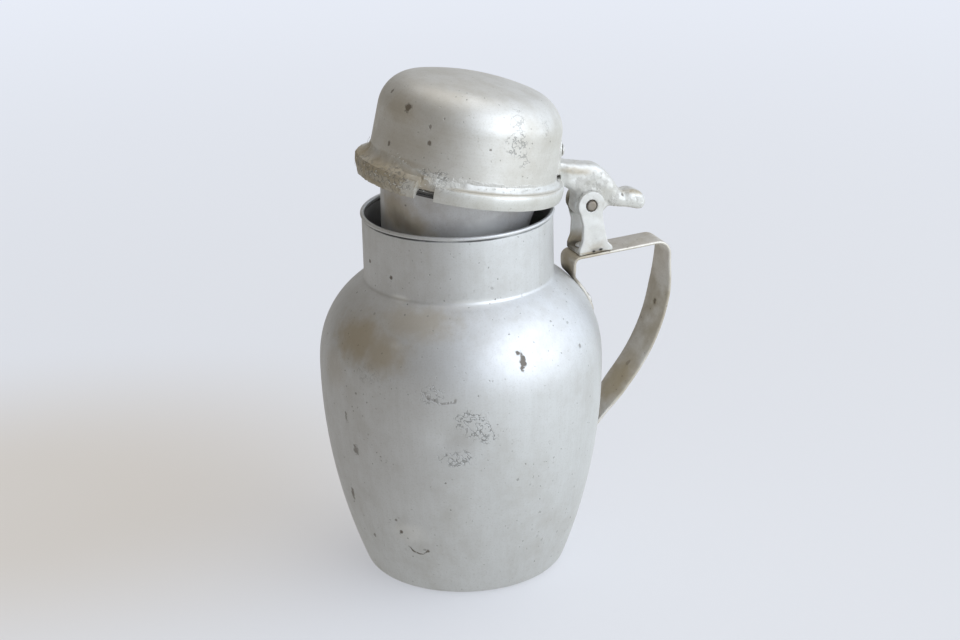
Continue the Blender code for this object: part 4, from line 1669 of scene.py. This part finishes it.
@dataclass
class Studio:
    """A pale floor with a painted shadow and a painted reflection, soft light and the camera."""

    eye: Vector = field(default_factory=lambda: Vector((-0.3069, -0.8431, 0.4489)))
    across: Vector = field(default_factory=lambda: Vector((0.9362, -0.3513, 0.0)))
    ahead: Vector = field(default_factory=lambda: Vector((0.3290, 0.8769, -0.3503)))
    roll: float = radians(-1.26)
    lens: float = 80.7
    sensor: float = 36.0
    aim: Vector = field(default_factory=lambda: Vector((0.0, 0.0, 0.10)))
    backdrop: Colour = (0.83, 0.87, 0.96)
    shadow_tint: Colour = (0.66, 0.60, 0.53)
    floor_tones: tuple[Colour, Colour] = ((0.77, 0.755, 0.74), (0.80, 0.785, 0.77))
    # Painted reflection: the floor's glow as glossy rays see it, to the left and to the right.
    painted_reflection_tones: tuple[Colour, Colour] = ((0.37, 0.355, 0.33), (0.95, 1.0, 1.0))
    dim_tones: tuple[Colour, Colour] = ((0.24, 0.225, 0.20), (0.42, 0.42, 0.42))
    window_tone: Colour = (1.08, 1.17, 1.29)
    floor_radius: float = 7.0
    floor_drop: float = 0.0002

    @property
    def side(self) -> Vector:
        """The way to the right of the view."""
        return self.across.normalized()

    @property
    def far(self) -> Vector:
        """The level way from the eye."""
        return Vector((self.ahead.x, self.ahead.y, 0.0)).normalized()

    def build_camera(self) -> None:
        """Aim the camera."""
        data = bpy.data.cameras.new("camera")
        data.lens = self.lens
        data.sensor_width = self.sensor
        camera = bpy.data.objects.new("camera", data)
        bpy.context.scene.collection.objects.link(camera)
        back = -self.ahead.normalized()
        turn = Matrix((self.side, back.cross(self.side), back)).transposed().to_4x4()
        camera.matrix_world = Matrix.Translation(self.eye) @ turn @ Matrix.Rotation(self.roll, 4, "Z")
        bpy.context.scene.camera = camera

    def build_floor(self) -> None:
        """Lay the floor, a wide disc whose colour fades a little to the left and the front, with a painted
        shadow to the left of the bottle and a painted reflection that glossy rays see.
        """
        bpy.ops.mesh.primitive_circle_add(vertices=96, radius=self.floor_radius, fill_type="NGON")
        floor = bpy.context.object
        floor.name = "floor"
        floor.data.transform(Matrix.Translation((0.0, 0.0, -self.floor_drop)))
        paint = bpy.data.materials.new("floor")
        paint.use_nodes = True
        g = Graph(paint.node_tree)
        paint.node_tree.nodes.clear()
        place = g.node("ShaderNodeTexCoord", output="Object")
        tone = g.mix(g.noise(place, 1.3, 2.0), *self.floor_tones)
        matt = g.node("ShaderNodeBsdfPrincipled", None, {"Base Color": tone, "Roughness": 0.8})
        # Painted shadow: a warm tint over the floor's glow in a patch to the left of the bottle, where its
        # cast shadow falls.
        middle = tuple(self.side * -0.23 + self.ahead * 0.06)
        aside = g.moved(place, middle, (0.0, 0.0, 0.0), (0.27, 0.20, 1.0))
        painted_shadow = g.length(aside).step(1.1, 0.2)
        glow = g.node("ShaderNodeEmission", None, {"Color": g.mix(painted_shadow, self.backdrop, self.shadow_tint)})
        camera = g.node("ShaderNodeLightPath", output="Is Camera Ray")
        # Painted reflection: glossy rays see the floor as a glow, dark to the left and pale to the right.
        glossy = g.node("ShaderNodeLightPath", output="Is Glossy Ray")
        sideways = g.along(place, self.side)
        shown = g.mix(sideways.step(-0.16, 0.20), *self.painted_reflection_tones)
        reflection_glow = g.node("ShaderNodeEmission", None, {"Color": shown, "Strength": 1.0})
        faded = g.length(place).step(0.15, 1.7) * 0.52 + 0.48
        pale = g.node("ShaderNodeMixShader", None, {0: camera * faded, 1: matt, 2: glow})
        shader = g.node("ShaderNodeMixShader", None, {0: glossy * 0.75, 1: pale, 2: reflection_glow})
        g.add("ShaderNodeOutputMaterial", None, {"Surface": shader})
        floor.data.materials.append(paint)

    def build_world(self) -> None:
        """Light the room: pale all round, darker to the left and towards the eye."""
        world = bpy.data.worlds.new("room")
        bpy.context.scene.world = world
        world.use_nodes = True
        world.node_tree.nodes.clear()
        g = Graph(world.node_tree)
        ray = g.node("ShaderNodeTexCoord", output="Generated")
        sideways = g.along(ray, self.side)
        forwards = g.along(ray, self.far)
        dim = g.mix(sideways.step(-0.9, 0.05), *self.dim_tones)
        lit = (sideways - forwards * 0.10).step(-0.20, 0.72)
        room = g.mix(lit, dim, self.window_tone)
        camera = g.node("ShaderNodeLightPath", output="Is Camera Ray")
        seen = g.mix(camera, room, self.backdrop)
        sky = g.node("ShaderNodeBackground", None, {"Color": seen, "Strength": 1.0})
        g.add("ShaderNodeOutputWorld", None, {"Surface": sky})

    def lamp(self, name: str, place: Vector, size: float, power: float, tint: Colour) -> None:
        """Hang one square lamp that looks at the bottle.

        Args:
            name: Its name.
            place: Where it hangs.
            size: Its width.
            power: In watts.
            tint: Its colour.
        """
        data = bpy.data.lights.new(name, "AREA")
        data.size = size
        data.energy = power
        data.color = tint
        item = bpy.data.objects.new(name, data)
        bpy.context.scene.collection.objects.link(item)
        item.location = place
        item.rotation_mode = "QUATERNION"
        item.rotation_quaternion = (self.aim - place).to_track_quat("-Z", "Y")

    def build(self) -> None:
        """Build everything around the bottle."""
        self.build_camera()
        self.build_floor()
        self.build_world()
        up = Vector((0.0, 0.0, 1.0))
        self.lamp("window", self.side * 1.35 - self.far * 0.75 + up * 0.60, 2.2, 14.0, (0.92, 0.97, 1.05))
        self.lamp("ceiling", up * 1.9 + self.far * 0.4, 1.6, 5.0, (1.0, 0.97, 0.92))


# ---------------------------------------------------------------- the finishes of each piece

VESSEL_METAL = AgedMetal(
    "spun_aluminium",
    sheen=0.46,
    chalk=0.56,
    metallic=0.92,
    mottle=0.45,
    pitting=0.62,
    marks=(
        # Painted dark reflection: a soft brown patch on the left of the shoulder, laid by these four DIRT
        # marks.
        Mark(Kind.DIRT, 200.0, 0.120, 0.057, 0.022, 0.013, 0, 0.95),
        Mark(Kind.DIRT, 214.0, 0.117, 0.058, 0.017, 0.011, 0, 0.85),
        Mark(Kind.DIRT, 226.0, 0.129, 0.048, 0.024, 0.008, 0, 0.60),
        Mark(Kind.DIRT, 188.0, 0.105, 0.061, 0.012, 0.012, 0, 0.35),
        Mark(Kind.RUST, 275.6, 0.1138, 0.0603, 0.0016, 0.0036, 8, 1.0),
        Mark(Kind.RUST, 274.0, 0.1180, 0.0590, 0.0009, 0.0010),
        Mark(Kind.RUST, 308.0, 0.1120, 0.0610, 0.0011, 0.0012, 0, 0.7),
        Mark(Kind.RUST, 184.0, 0.1482, 0.0419, 0.0010, 0.0010),
        Mark(Kind.RUST, 206.1, 0.1448, 0.0419, 0.0009, 0.0008),
        Mark(Kind.RUST, 219.1, 0.0329, 0.0550, 0.0011, 0.0009),
        Mark(Kind.RUST, 217.7, 0.0390, 0.0565, 0.0009, 0.0008, 0, 0.8),
        Mark(Kind.RUST, 200.7, 0.0695, 0.0616, 0.0020, 0.0028, 0, 0.75),
        Mark(Kind.RUST, 191.0, 0.0440, 0.0577, 0.0014, 0.0052, 8, 0.85),
        Mark(Kind.RUST, 200.7, 0.0256, 0.0531, 0.0010, 0.0014, 0, 0.7),
        Mark(Kind.RUST, 196.3, 0.0844, 0.0627, 0.0010, 0.0026, 0, 0.7),
        Mark(Kind.ARC, 226.9, 0.0262, 0.0532, 0.0046, 0.0034, 0, 1.0),
        Mark(Kind.ARC, 241.5, 0.1040, 0.0622, 0.0070, 0.0045, 12, 0.55),
        Mark(Kind.ETCH, 253.5, 0.0896, 0.0628, 0.0085, 0.0075, 30, 0.9),
        Mark(Kind.ETCH, 259.0, 0.0850, 0.0626, 0.0045, 0.0055, 0, 1.0),
        Mark(Kind.ETCH, 247.7, 0.0735, 0.0619, 0.0090, 0.0040, 0, 0.9),
        Mark(Kind.ETCH, 238.0, 0.1030, 0.0622, 0.0060, 0.0050, -30, 0.6),
        Mark(Kind.ETCH, 210.0, 0.1080, 0.0617, 0.0070, 0.0050, 0, 0.35),
        Mark(Kind.ETCH, 70.0, 0.0800, 0.0625, 0.0100, 0.0120, 0, 0.8),
        Mark(Kind.ETCH, 130.0, 0.1040, 0.0620, 0.0110, 0.0070, 20, 0.8),
        Mark(Kind.RUST, 95.0, 0.0520, 0.0590, 0.0020, 0.0050, 10, 0.8),
        Mark(Kind.RUST, 150.0, 0.1200, 0.0575, 0.0018, 0.0020, 0, 0.8),
        Mark(Kind.RUST, 40.0, 0.1080, 0.0617, 0.0014, 0.0030, -15, 0.8),
        Mark(Kind.DIRT, 60.0, 0.118, 0.058, 0.016, 0.010, 0, 0.45),
        # Painted shade: a dark line in the seam under the rim's bead, round the front and the sides.
        Mark(Kind.SHADE, 215.0, 0.1640, 0.0419, 0.0260, 0.0006, 0, 0.85),
        Mark(Kind.SHADE, 262.0, 0.1640, 0.0419, 0.0160, 0.0005, 0, 0.75),
        Mark(Kind.SHADE, 305.0, 0.1640, 0.0419, 0.0160, 0.0005, 0, 0.45),
        Mark(Kind.SHADE, 120.0, 0.1640, 0.0419, 0.0260, 0.0006, 0, 0.70),
        # Painted highlight: the WORN marks at 259 and 213 degrees lay a bright line along the neck's crease.
        # The other two lighten patches on the shoulder and low on the wall.
        Mark(Kind.WORN, 259.0, 0.1362, 0.0420, 0.020, 0.0022, 0, 0.6),
        Mark(Kind.WORN, 221.2, 0.1212, 0.0568, 0.0040, 0.0022, 0, 0.7),
        Mark(Kind.WORN, 213.0, 0.1365, 0.0420, 0.0060, 0.0018, 0, 0.7),
        Mark(Kind.WORN, 224.0, 0.0330, 0.0550, 0.0100, 0.0070, 0, 0.4),
    ),
)
DOME_METAL = AgedMetal(
    "lid_aluminium",
    bare=(0.76, 0.75, 0.72),
    dull=(0.57, 0.545, 0.49),
    sheen=0.46,
    metallic=0.90,
    grain=Grain.RINGS,
    mottle=0.55,
    pitting=0.55,
    grime=0.12,
    # Painted shade on the flange in the joint under the band, seen through the band's break.
    shaded_joint_height=0.1689,
    shaded_joint_radius=0.0424,
    marks=(
        Mark(Kind.RUST, 205.4, 0.2001, 0.0394, 0.0022, 0.0020, 0, 1.0),
        Mark(Kind.RUST, 182.7, 0.2037, 0.0376, 0.0009, 0.0012, 0, 0.9),
        Mark(Kind.RUST, 195.5, 0.1832, 0.0408, 0.0011, 0.0011, 0, 0.9),
        Mark(Kind.RUST, 225.2, 0.1886, 0.0406, 0.0013, 0.0011, 0, 1.0),
        Mark(Kind.RUST, 224.1, 0.1952, 0.0403, 0.0009, 0.0012, 0, 0.8),
        Mark(Kind.RUST, 262.0, 0.1900, 0.0406, 0.0006, 0.0007, 0, 0.7),
        Mark(Kind.ETCH, 279.0, 0.2020, 0.0385, 0.0045, 0.0060, 0, 0.55),
        Mark(Kind.ETCH, 278.1, 0.1935, 0.0404, 0.0060, 0.0060, 10, 0.85),
        Mark(Kind.ETCH, 285.0, 0.1870, 0.0407, 0.0030, 0.0040, 0, 0.7),
        Mark(Kind.ETCH, 302.0, 0.2000, 0.0392, 0.0022, 0.0060, 0, 0.35),
        Mark(Kind.ETCH, 105.0, 0.1950, 0.0404, 0.0070, 0.0060, 10, 0.7),
        Mark(Kind.RUST, 140.0, 0.1860, 0.0407, 0.0014, 0.0016, 0, 0.8),
        Mark(Kind.DIRT, 199.6, 0.1985, 0.0399, 0.0150, 0.0080, 0, 0.55),
        Mark(Kind.DIRT, 205.0, 0.1850, 0.0407, 0.0170, 0.0110, 0, 0.30),
        Mark(Kind.DIRT, 206.0, 0.1780, 0.0410, 0.0200, 0.0022, 0, 0.55),
        Mark(Kind.WORN, 214.0, 0.1990, 0.0398, 0.0050, 0.0020, 20, 0.5),
        Mark(Kind.CRUST, 258.0, 0.1750, 0.0411, 0.0180, 0.0013, 0, 0.70),
        Mark(Kind.CRUST, 233.0, 0.1752, 0.0411, 0.0080, 0.0016, 0, 0.55),
        Mark(Kind.ETCH, 232.0, 0.1765, 0.0411, 0.0075, 0.0030, 0, 0.9),
        Mark(Kind.CRUST, 290.0, 0.1748, 0.0411, 0.0120, 0.0010, 0, 0.6),
    ),
)
SLEEVE_METAL = AgedMetal(
    "sleeve_aluminium",
    bare=(0.66, 0.66, 0.665),
    dull=(0.48, 0.46, 0.44),
    sheen=0.50,
    chalk=0.60,
    metallic=0.45,
    mottle=0.6,
    pitting=0.5,
    grime=0.3,
    # Painted shade on the sleeve's flange in the joint under the band, seen through the band's break.
    shaded_joint_height=0.1689,
    shaded_joint_radius=0.0424,
    marks=(
        # Brown film and painted shade: the DIRT and SHADE marks darken the sleeve's left side, inside the
        # neck. Painted highlight: the WORN mark lightens its lower right.
        Mark(Kind.DIRT, 200.0, 0.1530, 0.0330, 0.0160, 0.0120, 20, 0.8),
        Mark(Kind.DIRT, 215.0, 0.1500, 0.0330, 0.0160, 0.0070, 10, 0.8),
        Mark(Kind.SHADE, 206.0, 0.1500, 0.0330, 0.0110, 0.0050, 20, 0.30),
        Mark(Kind.RUST, 208.0, 0.1580, 0.0340, 0.0008, 0.0008, 0, 0.6),
        Mark(Kind.WORN, 272.0, 0.1520, 0.0330, 0.0150, 0.0090, -20, 1.0),
    ),
)
STRIP_METAL = AgedMetal(
    "strip_aluminium",
    bare=(0.76, 0.73, 0.68),
    dull=(0.58, 0.54, 0.47),
    sheen=0.42,
    chalk=0.56,
    grain=Grain.ALONG,
    mottle=0.9,
    pitting=0.6,
    grime=0.68,
    marks=(
        # Painted shade and painted dark reflection: this DIRT mark and the SHADE mark darken the riser's face
        # towards the neck.
        Mark(Kind.DIRT, 0.0, 0.1310, 0.0520, 0.0120, 0.0090, 0, 1.0),
        Mark(Kind.SHADE, 0.0, 0.1285, 0.0520, 0.0120, 0.0040, 0, 0.75),
        Mark(Kind.DIRT, 0.0, 0.1375, 0.0560, 0.0120, 0.0040, 0, 0.8),
        Mark(Kind.RUST, 0.0, 0.1080, 0.0935, 0.0012, 0.0016, 20, 0.9),
        Mark(Kind.DIRT, 0.0, 0.1080, 0.0935, 0.0030, 0.0040, 20, 0.7),
        Mark(Kind.DIRT, 0.0, 0.0720, 0.0770, 0.0100, 0.0200, 0, 1.0),
        Mark(Kind.RUST, 0.0, 0.0800, 0.0800, 0.0010, 0.0014, 0, 0.5),
    ),
)
CLEVIS_METAL = AgedMetal(
    "cast_alloy",
    bare=(0.79, 0.79, 0.77),
    dull=(0.68, 0.67, 0.64),
    sheen=0.56,
    chalk=0.66,
    metallic=0.75,
    grain=Grain.CAST,
    mottle=0.45,
    pitting=0.25,
    crust=0.30,
    grime=0.14,
    lump=0.00005,
    marks=(
        # Painted shade: the SHADE marks darken the slots under the near foot and the far ear's inner face,
        # between the ears. The DIRT marks lay brown film along the near foot's lower edge and on the far ear.
        Mark(Kind.SHADE, 277.0, 0.1394, 0.0077, 0.0011, 0.0007, 0, 1.0),
        Mark(Kind.SHADE, 300.0, 0.1399, 0.0088, 0.0013, 0.0008, 0, 1.0),
        Mark(Kind.DIRT, 280.0, 0.1390, 0.0078, 0.0100, 0.0009, 0, 1.0),
        Mark(Kind.DIRT, 120.0, 0.1410, 0.0070, 0.0100, 0.0060, 0, 1.0),
        Mark(Kind.DIRT, 130.0, 0.1600, 0.0080, 0.0060, 0.0060, 0, 1.0),
        Mark(Kind.SHADE, 135.0, 0.1585, 0.0080, 0.0040, 0.0050, 0, 0.6),
        Mark(Kind.SHADE, 125.0, 0.1395, 0.0070, 0.0080, 0.0020, 0, 0.7),
    ),
)
LEVER_METAL = AgedMetal(
    "cast_lever",
    bare=(0.77, 0.77, 0.75),
    dull=(0.61, 0.595, 0.55),
    sheen=0.46,
    chalk=0.60,
    metallic=0.85,
    grain=Grain.CAST,
    mottle=0.6,
    pitting=0.35,
    crust=0.45,
    grime=0.22,
    lump=0.00012,
    marks=(
        Mark(Kind.DIRT, 349.0, 0.1684, 0.0200, 0.0030, 0.0022, 0, 0.9),
        Mark(Kind.RUST, 342.0, 0.1664, 0.0165, 0.0008, 0.0008, 0, 0.8),
        Mark(Kind.DIRT, 210.0, 0.1755, 0.0120, 0.0060, 0.0022, 0, 0.7),
    ),
)
BAND_METAL = AgedMetal(
    "band_aluminium",
    bare=(0.75, 0.75, 0.73),
    dull=(0.54, 0.52, 0.46),
    sheen=0.46,
    chalk=0.62,
    metallic=0.9,
    grain=Grain.RINGS,
    mottle=0.5,
    pitting=0.4,
    crust=0.22,
    grime=0.15,
    marks=(
        Mark(Kind.DIRT, 165.0, 0.1705, 0.0465, 0.0240, 0.0110, 0, 1.0),
        Mark(Kind.DIRT, 195.0, 0.1700, 0.0465, 0.0240, 0.0110, 0, 1.0),
        Mark(Kind.DIRT, 217.0, 0.1700, 0.0465, 0.0170, 0.0090, 0, 0.9),
        Mark(Kind.ETCH, 180.0, 0.1700, 0.0467, 0.0160, 0.0050, 0, 0.9),
        Mark(Kind.ETCH, 205.0, 0.1700, 0.0467, 0.0160, 0.0050, 0, 0.9),
        Mark(Kind.CRUST, 198.0, 0.1690, 0.0467, 0.0100, 0.0020, 0, 0.3),
        Mark(Kind.CRUST, 221.0, 0.1685, 0.0465, 0.0050, 0.0045, 0, 0.7),
        Mark(Kind.CRUST, 238.0, 0.1735, 0.0430, 0.0070, 0.0020, 0, 0.8),
        Mark(Kind.ETCH, 238.0, 0.1725, 0.0435, 0.0060, 0.0030, 0, 0.5),
        # Painted shade: a thin dark line in the cove where the band meets the dome, on its smooth side.
        Mark(Kind.DIRT, 265.0, 0.1720, 0.0430, 0.0300, 0.0007, 0, 0.55),
        Mark(Kind.DIRT, 300.0, 0.1720, 0.0430, 0.0200, 0.0007, 0, 0.45),
    ),
)
CRUST_GRAIN = AgedMetal(
    "white_crust",
    bare=(0.60, 0.59, 0.55),
    dull=(0.42, 0.39, 0.33),
    sheen=0.70,
    chalk=0.85,
    metallic=0.15,
    grain=Grain.CAST,
    crust=0.8,
)
PIN_METAL = AgedMetal(
    "pin_metal",
    bare=(0.40, 0.37, 0.34),
    dull=(0.26, 0.23, 0.20),
    sheen=0.48,
    chalk=0.62,
    grain=Grain.CAST,
    mottle=0.7,
    pitting=0.4,
    grime=0.3,
)
RIVET_METAL = AgedMetal(
    "rivet_aluminium",
    bare=(0.74, 0.73, 0.71),
    dull=(0.56, 0.54, 0.50),
    sheen=0.42,
    grain=Grain.CAST,
    mottle=0.6,
    pitting=0.3,
    grime=0.2,
)


def turned_ajar(joint: dict) -> Matrix:
    """Return the move from the closed lid to where the frame holds it.

    Args:
        joint: The lid's hinge, as the record gives it.

    Returns:
        The turn about the hinge's axis that undoes the joint's lower limit.
    """
    pin = Vector(joint["pos_m"])
    turn = Matrix.Rotation(-radians(joint["range_deg"][0]), 4, Vector(joint["axis"]))
    return Matrix.Translation(pin) @ turn @ Matrix.Translation(-pin)


def main() -> None:
    """Build the bottle piece by piece, then the studio around it."""
    logging.basicConfig(level=logging.INFO, format="%(name)s: %(message)s")
    joint = frame["joints"][0]
    pin = Vector(joint["pos_m"])
    ajar = turned_ajar(joint)
    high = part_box("vessel")[1]
    lathe, scatter = Lathe(), Scatter()

    vessel = Vessel(belly_radius=high.y, rim_height=high.z)
    vessel.build(lathe)
    handle = Handle(vessel)
    handle.build_strip()
    hinge = Hinge(handle, pin)
    hinge.build_bracket()
    hinge.build_pin(lathe)

    lid = Lid(vessel, ajar)
    lid.build_dome(lathe)
    lid.build_sleeve(lathe)
    lid.build_band()
    lid.build_crust(scatter)
    lever = Lever(lid, pin)
    lever.build()

    rivets = Rivets(RIVET_METAL.material(UNMOVED))
    grip = handle.gap + handle.thickness + vessel.wall
    fixed = rivets.build("handle_rivets", lathe, scatter, grip, handle.rivet_seats())
    nodes = ("shoulder_rivet", "wall_rivet_upper", "wall_rivet_lower")
    handed_over(fixed, "vessel", nodes, rivets.paint)
    grip = hinge.foot_thickness + handle.gap + handle.thickness
    fixed = rivets.build("clevis_rivets", lathe, scatter, grip, hinge.rivet_seats())
    nodes = ("bracket_rivet_inner", "bracket_rivet_outer")
    handed_over(fixed, "vessel", nodes, rivets.paint)
    grip = lever.pad_thickness + lid.gap + lid.wall
    moving = rivets.build("lever_rivets", lathe, scatter, grip, lever.rivet_seats())
    nodes = ("arm_rivet_left", "arm_rivet_right")
    handed_over(lid.placed(moving), "lid", nodes, rivets.paint)

    Studio().build()
    bpy.context.scene.view_settings.view_transform = "Standard"


if __name__ == "__main__":
    main()
